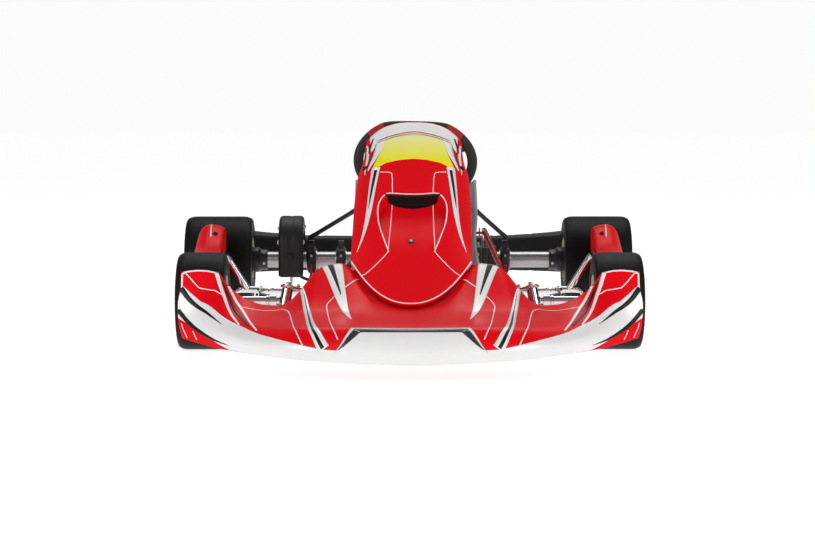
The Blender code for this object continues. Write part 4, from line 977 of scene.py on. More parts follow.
def rim(name, side, inner, outer, disc, body, centre, hub):
    low = RIM_WELL_R - RIM_WALL
    parts = [lathe(barrel(inner + RIM_INSET, outer - RIM_INSET), centre, X * side, 96)]
    parts += spoked_disc(disc, disc + 0.006, 0.022, low + 0.001, 6, centre, side, 0.45)
    parts.append(lathe(hub, centre, X * side, 48))
    piece(name, joined(*parts), magnesium, body, name, bevel=0.0006)
    valve_root = centre + X * side * (disc + 0.004) + Z * (low - 0.004)
    piece(name + "_valve", rod(valve_root, valve_root + X * side * 0.022 - Z * 0.006, 0.0035, 16),
          black_plastic,
          body)
    bolts = []
    for k in range(3):
        a = 2 * math.pi * (k + 0.25) / 3
        spoke = Vector((0, math.cos(a), math.sin(a)))
        for end, way in ((inner + 0.010, -1), (outer - 0.010, 1)):
            bolts.append((centre + X * side * end + spoke * (BEAD_R - 0.0095), X * side * way))
    scattered(name + "_bead_screws", hex_head(0.008, 0.006), bolts, zinc, body)


for name, side in SIDES.items():
    front_hub = [(0.4700, 0.0130), (0.4700, 0.0200), (0.4720, 0.0220), (0.5580, 0.0235), (0.5680, 0.0235),
                 (0.5740, 0.0210), (0.5750, 0.0130)]
    rim("front_rim_" + name, side, FRONT_HALF_WIDTH - FRONT_TYRE_W, FRONT_HALF_WIDTH, 0.5600,
        "front_wheel_" + name, at_front(0, 0, FRONT_R), front_hub)
    rear_hub_ring = [(0.5346, 0.0180), (0.5346, 0.0320), (0.5414, 0.0320), (0.5414, 0.0180)]
    rim("rear_rim_" + name, side, REAR_HALF_WIDTH - REAR_TYRE_W, REAR_HALF_WIDTH, 0.5350,
        "rear_axle_assembly", at_rear(0, 0, 0), rear_hub_ring)


# %% [markdown]
# ## Axle, hubs, disc and sprocket
# The rear axle is a plain 50 mm tube. Everything on it is clamped: hubs with a split and cap
# screws, a drilled disc on its carrier, and a sprocket whose teeth are one outline pulled thick.

# %% Axle and hubs
AXLE_R, AXLE_HALF = 0.0250, 0.5200
axle_centre = at_rear(0, 0, 0)
axle_profile = [(-AXLE_HALF, 0.0220), (-AXLE_HALF, 0.0242), (-AXLE_HALF + 0.001, AXLE_R),
                (AXLE_HALF - 0.001, AXLE_R), (AXLE_HALF, 0.0242), (AXLE_HALF, 0.0220)]
piece("rear_axle_tube", lathe(axle_profile, axle_centre, X, 96), steel, "rear_axle_assembly",
      "rear_axle")


HUB_BORE = AXLE_R + 0.0003        # what sits on the axle keeps this gap
REAR_DISC_X = 0.5350
for name, side in SIDES.items():
    profile = [(0.440, HUB_BORE), (0.440, 0.0306), (0.4414, 0.032), (0.458, 0.032), (0.462, 0.0345),
               (0.466, 0.0378), (0.4675, 0.039), (0.480, 0.039), (0.4815, 0.0376), (0.4835, 0.0376),
               (0.485, 0.039), (0.524, 0.039), (0.5328, 0.039), (0.5340, 0.0378), (0.5340, HUB_BORE)]
    piece("rear_hub_body_" + name, lathe(profile, axle_centre, X * side, 72), black_metal,
          "rear_axle_assembly", "rear_hub_" + name)
    spots = []
    for k in range(3):
        a = 2 * math.pi * k / 3 + 0.5
        spoke = Vector((0, math.cos(a), math.sin(a)))
        spots.append((axle_centre + X * side * (REAR_DISC_X + 0.006) + spoke * 0.0270, X * side))
    scattered("rear_hub_nuts_" + name, hex_head(0.013, 0.008, 0.0075), spots, zinc, "rear_axle_assembly")
    spots = [(axle_centre + X * side * 0.450 + Vector((0, math.cos(a), math.sin(a))) * 0.0318,
              Vector((0, math.cos(a), math.sin(a)))) for a in (2.4, 3.4, 0.2)]
    scattered("rear_hub_clamps_" + name, cap_head(0.0042, 0.0034), spots, zinc, "rear_axle_assembly")

# %% Disc and sprocket
UPRIGHT = Matrix(((0, 0, 1), (1, 0, 0), (0, 1, 0))).to_4x4()     # stands a flat outline up, facing +X
DISC_X, DISC_R, DISC_T = 0.2370, 0.1000, 0.0120


def toothed(teeth, tip, root):
    """The outline of a sprocket: rounded valleys between blunt tips."""
    outline = []
    for k in range(teeth):
        for share, r in ((0.0, tip), (0.10, tip), (0.26, (tip + root) / 2), (0.38, root), (0.62, root),
                         (0.74, (tip + root) / 2), (0.90, tip)):
            a = 2 * math.pi * (k + share) / teeth
            outline.append((r * math.cos(a), r * math.sin(a)))
    return outline


def drilled_plate(outline_count, outer, inner, x_low, x_high, centre, holes, hole_ring, hole_r, outline=None):
    """A ring-shaped plate cut by round holes, by a Boolean that is applied at once."""
    sides = outline_count
    outside = outline or [(outer * math.cos(2 * math.pi * k / sides),
                           outer * math.sin(2 * math.pi * k / sides))
                          for k in range(sides)]
    turn = UPRIGHT
    body = slab(outside, x_high - x_low, Matrix.Translation(centre + X * (x_low + x_high) / 2) @ turn)
    cutters = [rod(centre + X * (x_low - 0.01), centre + X * (x_high + 0.01), inner, 48, 0.0)]
    for k in range(holes):
        a = 2 * math.pi * k / holes
        for n, r in enumerate(hole_ring):
            b = a + (math.pi / holes if n % 2 else 0)
            spot = centre + Vector((0, math.cos(b), math.sin(b))) * r
            cutters.append(rod(spot + X * (x_low - 0.01), spot + X * (x_high + 0.01), hole_r[n], 14, 0.0))
    return carved(body, joined(*cutters))


def carved(body, cutter):
    things = []
    for bm in (body, cutter):
        mesh = bpy.data.meshes.new("carving")
        bm.to_mesh(mesh)
        bm.free()
        thing = bpy.data.objects.new("carving", mesh)
        bpy.context.scene.collection.objects.link(thing)
        things.append(thing)
    cut = things[0].modifiers.new("cut", 'BOOLEAN')
    cut.operation, cut.solver, cut.object = 'DIFFERENCE', 'EXACT', things[1]
    bpy.context.view_layer.update()
    result = bmesh.new()
    mesh = bpy.data.meshes.new_from_object(things[0].evaluated_get(bpy.context.evaluated_depsgraph_get()))
    result.from_mesh(mesh)
    for thing in things:
        bpy.data.objects.remove(thing)
    bpy.data.meshes.remove(mesh)
    return result


disc_centre = at_rear(DISC_X, 0, 0)
half = DISC_T / 2
faces = [drilled_plate(96, DISC_R, 0.052, x, x + 0.004, disc_centre, 18, (0.090, 0.076, 0.064),
                       (0.0035, 0.0035, 0.003)) for x in (-half, half - 0.004)]
fins = []
for k in range(30):
    a = 2 * math.pi * k / 30
    out = Vector((0, math.cos(a), math.sin(a)))
    over = X.cross(out)
    rings = [[disc_centre + X * x + out * r + over * (w + (r - 0.055) * 0.18) for x, w in
              ((-0.0022, -0.0012), (0.0022, -0.0012), (0.0022, 0.0012), (-0.0022, 0.0012))]
             for r in (0.055, 0.075, 0.0985)]
    fins.append(skin(rings))
piece("brake_disc_plates", joined(*faces, *fins), steel, "rear_axle_assembly", "brake_disc",
      bevel=0.0004)
carrier_profile = [(-0.020, HUB_BORE), (-0.020, 0.0345), (-0.0185, 0.036), (-0.008, 0.036),
                   (-0.0055, 0.040), (-0.0025, 0.056), (0.0025, 0.056), (0.0055, 0.040), (0.008, 0.036),
                   (0.0185, 0.036), (0.020, 0.0345), (0.020, HUB_BORE)]
piece("brake_disc_carrier", lathe(carrier_profile, disc_centre, X, 72), black_metal, "rear_axle_assembly")
sprocket_centre = at_rear(-0.3650, 0, 0)
sprocket_plate = drilled_plate(0, 0, 0.038, -0.0025, 0.0025, sprocket_centre, 6, (0.058,), (0.011,),
                               toothed(76, 0.0860, 0.0822))
piece("sprocket_plate", sprocket_plate, aluminium, "rear_axle_assembly", "sprocket",
      bevel=0.0003)
sprocket_hub = [(-0.018, HUB_BORE), (-0.018, 0.0348), (-0.0168, 0.036), (-0.0065, 0.036), (-0.0060, 0.046),
                (-0.0026, 0.047), (0.0026, 0.047), (0.0030, 0.036), (0.0168, 0.036), (0.018, 0.0348),
                (0.018, HUB_BORE)]
piece("sprocket_carrier", lathe(sprocket_hub, sprocket_centre, X, 72), black_metal, "rear_axle_assembly")
spots = []
for k in range(6):
    a = 2 * math.pi * (k + 0.5) / 6
    spoke = Vector((0, math.cos(a), math.sin(a)))
    spots.append((sprocket_centre + X * 0.0026 + spoke * 0.0425, X))
    spots.append((disc_centre + X * 0.0055 + spoke * 0.0465 + X * -0.0018, X))
scattered("axle_carrier_bolts", hex_head(0.010, 0.005), spots, zinc, "rear_axle_assembly")


# %% [markdown]
# ## Side pods
# Each pod is a thin moulding, open towards the kart, that rises behind to cover the rear tyre's
# leading edge. Its section is a polyline whose corners are cut twice, so they read as soft edges,
# and the two ends close over a small radius.

# %% Side pods
POD_FRONT_Y, POD_BACK_Y = 0.275, WHEELBASE - REAR_TYRE_R - 0.025
POD_LINE = [(0.0, 0.168, 0.590), (0.074, 0.178, 0.622), (0.287, 0.188, 0.646), (0.566, 0.195, 0.652),
            (0.697, 0.206, 0.652), (0.828, 0.238, 0.651), (0.926, 0.262, 0.650), (1.0, 0.256, 0.642)]
POD_END = 0.05                   # share of the length that each rounded end takes


def pod_section(share):
    top, outer = curve_value(POD_LINE, share)
    points = [(0.558, top - 0.010), (0.582, top), (outer - 0.034, top), (outer - 0.012, top - 0.028),
              (outer, 0.135), (outer - 0.002, 0.095), (outer - 0.018, 0.062), (0.560, 0.052)]
    return spread_points(rounded([list(p) for p in points], 2), 41)


def pod_point_on(side):
    def pod_point(k, share):
        """k from 0 to 1 round the section, share from 0 at the front to 1 behind."""
        share = min(max(share, 0.0), 1.0)
        ends = min(share, 1 - share) / POD_END
        shrink = 1 - 0.10 * (1 - math.sqrt(1 - (1 - min(ends, 1.0)) ** 2))
        section = pod_section(share)
        spot = min(max(k, 0.0), 1.0) * 40
        i = min(int(spot), 39)
        x, z = (a + (b - a) * (spot - i) for a, b in zip(section[i], section[i + 1]))
        x, z = 0.550 + (x - 0.550) * shrink, 0.150 + (z - 0.150) * shrink
        return at_front(side * x, POD_FRONT_Y + (POD_BACK_Y - POD_FRONT_Y) * share, z)
    return pod_point


for name, side in SIDES.items():
    surface = pod_point_on(side)
    outward = X * side + Z * 0.8
    shares = [0.0, 0.002, 0.008, 0.018, 0.032] + [0.05 + 0.9 * i / 40 for i in range(41)] + [
        0.968, 0.982, 0.992, 0.998, 1.0]
    rings = [[surface(k / 40, share) for k in range(41)] for share in shares]
    bm = skin(rings, wrap=False)
    bm.verts.ensure_lookup_table()
    total = len(bm.verts)
    for first in (0, total - 41):
        bm.verts.ensure_lookup_table()
        edge = [bm.verts[first + i] for i in range(41)]
        middle = bm.verts.new((edge[0].co + edge[-1].co) / 2)
        for a, b in zip(edge, edge[1:]):
            bm.faces.new([a, b, middle])
    bmesh.ops.recalc_face_normals(bm, faces=bm.faces)
    outermost = max(bm.faces, key=lambda f: side * f.calc_center_median().x)
    if outermost.normal.x * side < 0:
        bmesh.ops.reverse_faces(bm, faces=bm.faces)
    piece("pod_" + name, bm, red_plastic, "chassis", "side_pod_" + name, wall=SHELL, angle=40)
    art = Graphics("pod_art_" + name, surface, outward, "chassis")
    art.field(white_film, [(0.93, 0.06), (0.93, 0.5), (0.93, 0.96)],
              [(0.52, 0.10), (0.47, 0.5), (0.42, 0.96)],
              lift=1, steps=60, across=24)
    art.field(red_film, [(0.90, 0.20), (0.90, 0.75)], [(0.68, 0.30), (0.66, 0.85)], lift=2, steps=40,
              across=12)
    art.field(yellow_film, [(0.66, 0.03), (0.60, 0.34)], [(0.53, 0.03), (0.59, 0.34)], lift=3, steps=40,
              across=12)
    art.stripe(black_film, [(0.62, 0.10, 0.002), (0.60, 0.45, 0.012), (0.54, 0.96, 0.006)], lift=2,
               mirror=False)
    art.stripe(yellow_film, [(0.475, 0.55, 0.006), (0.43, 0.80, 0.012), (0.415, 0.955, 0.012)], lift=2,
               mirror=False)
    loop = [(0.12, 0.80, 0.003), (0.12, 0.97, 0.003), (0.36, 0.97, 0.003), (0.36, 0.80, 0.003)]
    art.stripe(white_film, loop, lift=2, mirror=False, soft=1)
    art.stripe(white_film, [(0.36, 0.06, 0.003), (0.33, 0.40, 0.003), (0.30, 0.70, 0.003)], lift=2,
               mirror=False)
    art.lay()
    spots = [(surface(0.08, s) + (X * -side * 0.3 + Z).normalized() * 0.001, Z) for s in (0.22, 0.84)]
    scattered("pod_fasteners_" + name, cap_head(0.0042, 0.003, 0.0085), spots, black_metal, "chassis")


# %% [markdown]
# ## The seat
# A kart seat is laid up in glass cloth: thin, springy, with a rolled rim. The cloth's weave shows
# through the silver gel coat, so two crossed wave patterns drive its bump.

# %% Seat
SEAT_OFFSET, SEAT_HALF_WIDTH = 0.0220, 0.1830
SEAT_LINE = [(0.0, -0.620, 0.150, 1.06, 0.030), (0.15, -0.555, 0.096, 1.04, 0.085),
             (0.32, -0.445, 0.062, 1.00, 0.105), (0.48, -0.335, 0.074, 0.98, 0.125),
             (0.62, -0.255, 0.150, 0.96, 0.150), (0.80, -0.199, 0.258, 0.99, 0.125),
             (1.0, -0.160, 0.376, 0.98, 0.070)]


def seat_point(u, v):
    y, z, width, height = curve_value(SEAT_LINE, v)
    ahead = curve_value(SEAT_LINE, min(v + 0.02, 1.0))
    behind = curve_value(SEAT_LINE, max(v - 0.02, 0.0))
    along = Vector((0, ahead[0] - behind[0], ahead[1] - behind[1])).normalized()
    angle = abs(u) * math.pi / 2
    x = SEAT_OFFSET + math.copysign(SEAT_HALF_WIDTH * width * math.sin(angle) ** 0.75, u)
    rise = height * (1 - math.cos(angle)) ** 1.3
    return Vector((x, REAR_Y + y, z)) - along.cross(X) * rise


seat_fibre = finish("seat_gel_coat", (0.33, 0.34, 0.35), (0.24, 0.245, 0.25), (0.26, 0.38), coat=0.5,
                    cell=0.05, grain=0.002, bump=0.05)
wave_over(seat_fibre, 130, 'X', 0.0004, 0.35)
wave_over(seat_fibre, 130, 'Y', 0.0004, 0.35)
seat_u = [-1 + 2 * i / 72 for i in range(73)]
seat_v = [i / 84 for i in range(85)]
seat_bm = skin([[seat_point(u, v) for u in seat_u] for v in seat_v], wrap=False)
facing(seat_bm, lambda c: c - Vector((SEAT_OFFSET, REAR_Y - 0.42, 0.30)))
piece("seat_shell", seat_bm, seat_fibre, "chassis", "seat", wall=SHELL, angle=60)
rim_path = ([seat_point(-1, v) for v in seat_v[::2]] + [seat_point(u, 1) for u in seat_u[2:-2:3]]
            + [seat_point(1, v) for v in seat_v[::-2]] + [seat_point(u, 0) for u in seat_u[-3:1:-3]])
seat_middle = Vector((SEAT_OFFSET, REAR_Y - 0.36, 0.22))
rim_path = [p + (seat_middle - p).normalized() * 0.0022 for p in rim_path]
piece("seat_rolled_rim", pipe(rim_path, 0.0042, sides=10, loop=True), seat_fibre, "chassis")
seat_bolts = []
for u, v in ((-0.76, 0.86), (0.76, 0.86), (-0.55, 0.36), (0.55, 0.36), (-0.55, 0.22), (0.55, 0.22)):
    inwards = (seat_middle - seat_point(u, v)).normalized()
    n = normal_on(seat_point, u, v, inwards)
    seat_bolts.append((seat_point(u, v) + n * (SHELL + 0.0002), n))
scattered("seat_bolts", cap_head(0.006, 0.004, 0.018), seat_bolts, zinc, "chassis")

# %% Seat stays
STAY_R, EAR_TOP, BEARING_X = 0.0070, 0.060, {"left": 0.3020, "middle": -0.2100, "right": -0.3020}
for name, side in SIDES.items():
    outwards = Vector((side * 0.62, 0.75, -0.22)).normalized()
    top = seat_point(side * 0.76, 0.86) + outwards * (STAY_R + 0.0012)
    foot = at_rear(BEARING_X[name] + side * 0.004, -0.008, EAR_TOP + STAY_R + 0.0030)
    way = (foot - top).normalized()
    stay = joined(rod(top, foot, STAY_R, 24), washer(top - way * 0.004, top + way * 0.030, 0.0078, 0.001, 20),
                  washer(foot - way * 0.030, foot + way * 0.002, 0.0078, 0.001, 20))
    piece("stay_" + name, stay, black_metal, "chassis", "seat_stay_" + name)

# %% [markdown]
# ## Chain guard and brake
# The guard is a deep black moulding over the sprocket, with a rounded back and a stiffening rib.
# The caliper is a billet block round the disc: two halves, bridge bolts and a bleed nipple.

# %% Chain guard
GUARD_LOW, GUARD_HIGH, GUARD_WALL = -0.4020, -0.3255, 0.003
guard_outer = rounded([[-0.095, -0.046], [-0.095, 0.050], [-0.083, 0.092], [-0.052, 0.124], [-0.010, 0.139],
                       [0.040, 0.134], [0.080, 0.108], [0.104, 0.060], [0.105, 0.030]], 2)
guard_steps = spread_points(guard_outer, 56)


def guard_ring(x, inset):
    """The guard's outline at one place across it, drawn in by inset."""
    middle = (0.0, 0.02)
    points = []
    for y, z in guard_steps:
        d = math.hypot(y - middle[0], z - middle[1])
        points.append(at_rear(x, y - (y - middle[0]) / d * inset, z - (z - middle[1]) / d * inset))
    return points


guard_rows = [guard_ring(GUARD_LOW + 0.0005, 0.040), guard_ring(GUARD_LOW, 0.020)]
for k in range(7):
    a = math.pi / 2 * k / 6
    guard_rows.append(guard_ring(GUARD_LOW + 0.012 * (1 - math.sin(a)), 0.012 * (1 - math.cos(a))))
guard_rows = guard_rows[:2] + guard_rows[:1:-1]
guard_rows += [guard_ring(GUARD_LOW + 0.018 + 0.0405 * k / 6, 0.0018 if k == 3 else 0.0) for k in range(7)]
for k in range(7):
    a = math.pi / 2 * k / 6
    guard_rows.append(guard_ring(GUARD_HIGH - 0.012 * (1 - math.sin(a)), 0.012 * (1 - math.cos(a))))
guard_rows += [guard_ring(GUARD_HIGH, 0.020), guard_ring(GUARD_HIGH - 0.0005, 0.040)]
guard_bm = skin(guard_rows, wrap=False)
facing(guard_bm, lambda c: c - at_rear(-0.3635, 0.0, 0.02))
piece("chain_guard_shell", guard_bm, black_plastic, "chassis", "chain_guard",
      wall=GUARD_WALL,
      angle=50)
guard_spots = [(at_rear(GUARD_HIGH + 0.0002, y, z), X)
               for y, z in ((-0.072, 0.060), (-0.030, 0.100), (0.045, 0.100))]
guard_spots += [(at_rear(GUARD_LOW - 0.0002, y, z), -X) for y, z in ((-0.072, 0.060), (-0.030, 0.100))]
scattered("chain_guard_screws", cap_head(0.0045, 0.0032, 0.008), guard_spots, zinc, "chassis")
lug = joined(brick(at_rear(-0.372, -0.104, 0.010), at_rear(-0.356, -0.093, 0.026)),
             rod(at_rear(-0.364, -0.104, 0.018), at_rear(-0.364, -0.108, 0.018), 0.0045, 16))
piece("chain_guard_lug", lug, black_plastic, "chassis", bevel=0.0015)
bracket = joined(pipe([at_rear(-0.305, -0.100, AXLE_Z * -1 + 0.080), at_rear(-0.330, -0.100, -0.045),
                       at_rear(-0.345, -0.090, -0.030)], 0.005, 0.02, 14))
piece("chain_guard_bracket", bracket, black_metal, "chassis")

# %% Caliper
low = Vector((DISC_X - 0.034, REAR_Y - 0.128, 0.0650 + 0.0145))
high = at_rear(DISC_X + 0.034, -0.052, 0.050)
gap = 0.0085
parts = [brick(low, Vector((DISC_X - gap, high.y, high.z))),
         brick(Vector((DISC_X + gap, low.y, low.z)), high),
         brick(Vector((DISC_X - gap - 0.002, low.y, low.z)),
               Vector((DISC_X + gap + 0.002, low.y + 0.018, high.z)))]
piece("caliper_body", joined(*parts), black_metal, "chassis", "brake_caliper", bevel=0.0045,
      segments=3)
middle = (low + high) / 2
bosses = []
for x, way in ((low.x, -1), (high.x, 1)):
    for z in (-0.024, 0.018):
        spot = Vector((x, middle.y + 0.006, middle.z + z))
        bosses.append(rod(spot - X * way * 0.002, spot + X * way * 0.004, 0.0155, 40, 0.0015))
bosses.append(rod(Vector((middle.x - 0.020, middle.y, high.z - 0.002)),
                  Vector((middle.x - 0.020, middle.y, high.z + 0.012)),
                  0.0035, 18))
piece("caliper_pistons", joined(*bosses), aluminium, "chassis")
spots = [(Vector((low.x + 0.010 + 0.048 * i, low.y - 0.0002, middle.z + z)), -Y)
         for i in (0, 1) for z in (-0.03, 0.03)]
scattered("caliper_bolts", cap_head(0.005, 0.004), spots, zinc, "chassis")

# %% [markdown]
# ## Bearings
# Three carriers hold the axle. Each is a ring in a half-round cradle of the frame with an ear on
# top for the seat stay, a steel inner ring and two grub screws.

# %% Bearing carriers
for name, x in BEARING_X.items():
    ring_profile = [(-0.015, 0.0320), (-0.015, 0.0352), (-0.0142, 0.036), (-0.0130, 0.0365),
                    (-0.0112, 0.0415),
                    (-0.0100, 0.0425), (0.0100, 0.0425), (0.0112, 0.0415), (0.0130, 0.0365), (0.0142, 0.036),
                    (0.015, 0.0352), (0.015, 0.0320)]
    ear = slab([(-0.020, 0.034), (0.016, 0.034), (0.016, 0.052), (0.008, EAR_TOP), (-0.012, EAR_TOP),
                (-0.020, 0.052)], 0.018, Matrix.Translation(at_rear(x, 0, 0)) @ UPRIGHT)
    piece("bearing_carrier_" + name, joined(lathe(ring_profile, at_rear(x, 0, 0), X, 72), ear), black_metal,
          "chassis", "rear_bearing_" + name, bevel=0.0008)
    race = [(-0.0165, AXLE_R + 0.0004), (-0.0165, 0.0295), (-0.0155, 0.0300), (0.0155, 0.0300),
            (0.0165, 0.0295),
            (0.0165, AXLE_R + 0.0004)]
    piece("bearing_race_" + name, lathe(race, at_rear(x, 0, 0), X, 72), zinc, "rear_axle_assembly")
    spots = [(at_rear(x, 0.0423 * math.cos(a), 0.0423 * math.sin(a)), Vector((0, math.cos(a), math.sin(a))))
             for a in (0.35, 2.79)]
    scattered("bearing_screws_" + name, cap_head(0.0042, 0.0036), spots, zinc, "chassis")

# %% [markdown]
# ## Rear bumper
# The rear bumper is a hollow black moulding behind both wheels, with a shallow groove along its
# back and ribs across it, held to the rear bar by straps.

# %% Rear bumper
REAR_OVERHANG = 0.290
front_edge, back_edge = REAR_TYRE_R, REAR_OVERHANG
BUMPER_LINE = [(0, front_edge + 0.070, back_edge - 0.020, 0.078, 0.186),
               (0.44, front_edge + 0.070, back_edge - 0.012, 0.078, 0.188),
               (0.65, front_edge + 0.057, back_edge - 0.002, 0.076, 0.196),
               (0.82, front_edge + 0.031, back_edge, 0.074, 0.206),
               (0.94, front_edge + 0.025, back_edge - 0.022, 0.078, 0.200),
               (1.0, front_edge + 0.030, back_edge - 0.070, 0.090, 0.182)]
rings = []
for i in range(-60, 61):
    share = abs(i) / 60
    front, back, low_z, high_z = curve_value(BUMPER_LINE, share)
    rib = 0.0012 if abs(i) % 10 == 5 and share < 0.8 else 0.0
    r = 0.016
    outline = []
    for cy, cz, start in ((front + r, low_z + r, 180), (back - r, low_z + r, 270), (back - r, high_z - r, 0),
                          (front + r, high_z - r, 90)):
        for k in range(6):
            a = math.radians(start + 90 * k / 5)
            outline.append((cy + (r - rib) * math.cos(a), cz + (r - rib) * math.sin(a)))
        if start == 270:
            mid = (low_z + high_z) / 2
            outline += [(back, mid - 0.014), (back - 0.010, mid - 0.006), (back - 0.010, mid + 0.006),
                        (back, mid + 0.014)]
    x = math.copysign(share, i) * (REAR_HALF_WIDTH - 0.012)
    rings.append([Vector((x, REAR_Y + y, z)) for y, z in outline])
piece("rear_bumper_moulding", skin(rings), black_plastic, "chassis", "rear_bumper",
      bevel=0.0012,
      angle=30)
straps = []
for x in (-0.18, 0.18):
    straps.append(brick((x - 0.012, REAR_Y + 0.176, AXLE_Z - 0.026),
                        (x + 0.012, REAR_Y + 0.2056, AXLE_Z + 0.002)))
piece("rear_bumper_straps", joined(*straps), black_plastic, "chassis", bevel=0.003)


# %% [markdown]
# ## The frame
# The frame is 30 mm tube bent round the driver, with cross tubes, bearing cradles and a C bracket
# for each kingpin. Tubes are swept along their centre lines, and each cross tube gets a weld at both
# ends: a ring of small overlapping ripples laid by the same placing tree.

# %% Frame tubes
RAIL_R, RAIL_Z, RAIL_X = 0.0150, 0.0650, 0.3020
FRONT_LOOP_Y, FRONT_LOOP_X, MID_CROSS_Y = -0.215, 0.165, 0.360
REAR_CROSS_Y, TAIL_CROSS_Y = WHEELBASE - 0.145, WHEELBASE + DISC_R + 0.015
KINGPIN_X, KINGPIN_TILT, CASTER, KINGPIN_R = 0.3300, math.radians(11), math.radians(12), 0.0050
YOKE_HALF, YOKE_T, YOKE_BACK = 0.0340, 0.0060, -0.0400
SPINDLE_R = 0.0125
COLUMN_FOOT = at_front(0.0, -0.030, 0.092)
COLUMN_DIR = Vector(joints["steering_turn"]["axis"]).normalized()
COLUMN_DOWN = COLUMN_DIR.cross(X).normalized()
COLUMN_R, COLUMN_LENGTH, PITMAN_AT, PITMAN_R, PITMAN_HALF = 0.0100, 0.5350, 0.1100, 0.0420, 0.0220


def on_column(along):
    return COLUMN_FOOT + COLUMN_DIR * along


def column_frame(along):
    """The driver's view: local X to the right, Y up, Z along the column."""
    z = COLUMN_DIR
    x = (z * X.dot(z) - X).normalized()
    return Matrix.Translation(on_column(along)) @ Matrix((x, z.cross(x), z)).transposed().to_4x4()


def kingpin_axis(side):
    return Vector((-side * math.tan(KINGPIN_TILT), math.tan(CASTER), 1.0)).normalized()


def kingpin_frame(side):
    z = kingpin_axis(side)
    x = (X * side - z * (X * side).dot(z)).normalized()
    lean = Matrix((x, z.cross(x), z)).transposed().to_4x4()
    return Matrix.Translation(at_front(side * KINGPIN_X, 0, FRONT_R)) @ lean


z = RAIL_Z
rail_half = [(RAIL_X, TAIL_CROSS_Y, z), (RAIL_X, WHEELBASE - 0.245, z), (RAIL_X - 0.002, 0.22, z),
             (0.235, -0.06, z), (FRONT_LOOP_X, FRONT_LOOP_Y, z)]
rails = [at_front(*p) for p in rail_half] + [at_front(-p[0], p[1], p[2]) for p in rail_half[::-1]]
yoke_x = KINGPIN_X + YOKE_BACK + 0.010
crosses = [((-yoke_x, 0), (yoke_x, 0), 0.014), ((-RAIL_X, MID_CROSS_Y), (RAIL_X, MID_CROSS_Y), 0.014),
           ((-RAIL_X, REAR_CROSS_Y), (RAIL_X, REAR_CROSS_Y), 0.014),
           ((-RAIL_X, TAIL_CROSS_Y), (RAIL_X, TAIL_CROSS_Y), 0.0145),
           ((-0.2100, REAR_CROSS_Y), (-0.2100, TAIL_CROSS_Y), 0.013)]
parts = [pipe(rails, RAIL_R, 0.10, 32)]
parts += [rod(at_front(*a, z), at_front(*b, z), r, 32) for a, b, r in crosses]
for side in SIDES.values():
    turn = kingpin_frame(side)
    plate = [(YOKE_BACK, -0.020), (0.004, -0.020), (0.016, -0.013), (0.020, 0.0), (0.016, 0.013),
             (0.004, 0.020),
             (YOKE_BACK, 0.020)]
    for height in (YOKE_HALF + YOKE_T / 2, -YOKE_HALF - YOKE_T / 2):
        parts.append(slab(plate, YOKE_T, turn @ Matrix.Translation((0, 0, height))))
    foot = RAIL_Z - FRONT_R - 0.0045
    parts.append(placed(brick((YOKE_BACK - 0.004, -0.020, foot),
                              (YOKE_BACK + 0.004, 0.020, YOKE_HALF + YOKE_T)),
                        turn))
parts.append(washer(on_column(0.008), on_column(0.032), 0.0180, COLUMN_R + 0.0005))
parts.append(rod(at_front(0, 0, z), on_column(0.020) + COLUMN_DOWN * 0.0145, 0.009, 24))
bar_y, seat_edge = WHEELBASE - 0.295, SEAT_OFFSET + SEAT_HALF_WIDTH + 0.021
parts.append(pipe([at_front(RAIL_X, bar_y, z), at_front(RAIL_X - 0.030, bar_y, 0.150),
                   at_front(seat_edge, bar_y, 0.252)], 0.0085, 0.05, 20))
bolt_at = at_front(seat_edge, bar_y, 0.244)
parts += [rod(bolt_at + X * 0.012, bolt_at - X * 0.026, 0.004, 20),
          washer(bolt_at - X * 0.0125, bolt_at - X * 0.0165,
                                                                       0.016, 0.003)]
for x in BEARING_X.values():
    arc = [(0.0443 * math.cos(a), 0.0443 * math.sin(a)) for a in
           (math.radians(-190 + 200 * k / 30) for k in range(31))]
    arc = [(y, w) for y, w in arc if w <= -0.008]
    arc = sorted(arc, key=lambda p: p[0])
    low_z = RAIL_Z - AXLE_Z
    outline = [(-0.070, low_z), (0.070, low_z), (0.070, low_z + 0.030), (0.056, -0.008)]
    outline += arc[::-1] + [(-0.056, -0.008), (-0.070, low_z + 0.030)]
    parts.append(slab(outline, 0.008, Matrix.Translation(at_rear(x, 0, 0)) @ UPRIGHT))
piece("frame_tubes", joined(*parts), frame_paint, "chassis", "chassis_frame")


def weld_ring(centre, axis, radius):
    """Ripples round the end of a tube where it meets another."""
    spots = []
    count = int(2 * math.pi * radius / 0.0028)
    for p in ring(Vector(centre), Vector(axis), radius, count):
        spots.append((p, (p - Vector(centre)) + Vector(axis).normalized() * radius * 0.8))
    return spots


welds = []
for a, b, r in crosses:
    for (x, y), way in ((a, 1), (b, -1)):
        axis = (at_front(*b, z) - at_front(*a, z)).normalized() * way
        reach = RAIL_R + 0.0005 if abs(x) > 0.25 else RAIL_R
        welds += weld_ring(at_front(x, y, z) + axis * reach, axis, r + 0.0002)
bead = lathe([(0, 0), (0, 0.0026), (0.0009, 0.0022), (0.0016, 0.0011), (0.0018, 0)], axis=Z, sides=8)
scattered("frame_welds", bead, welds, frame_paint, "chassis", shortest=0.8, seed=5)

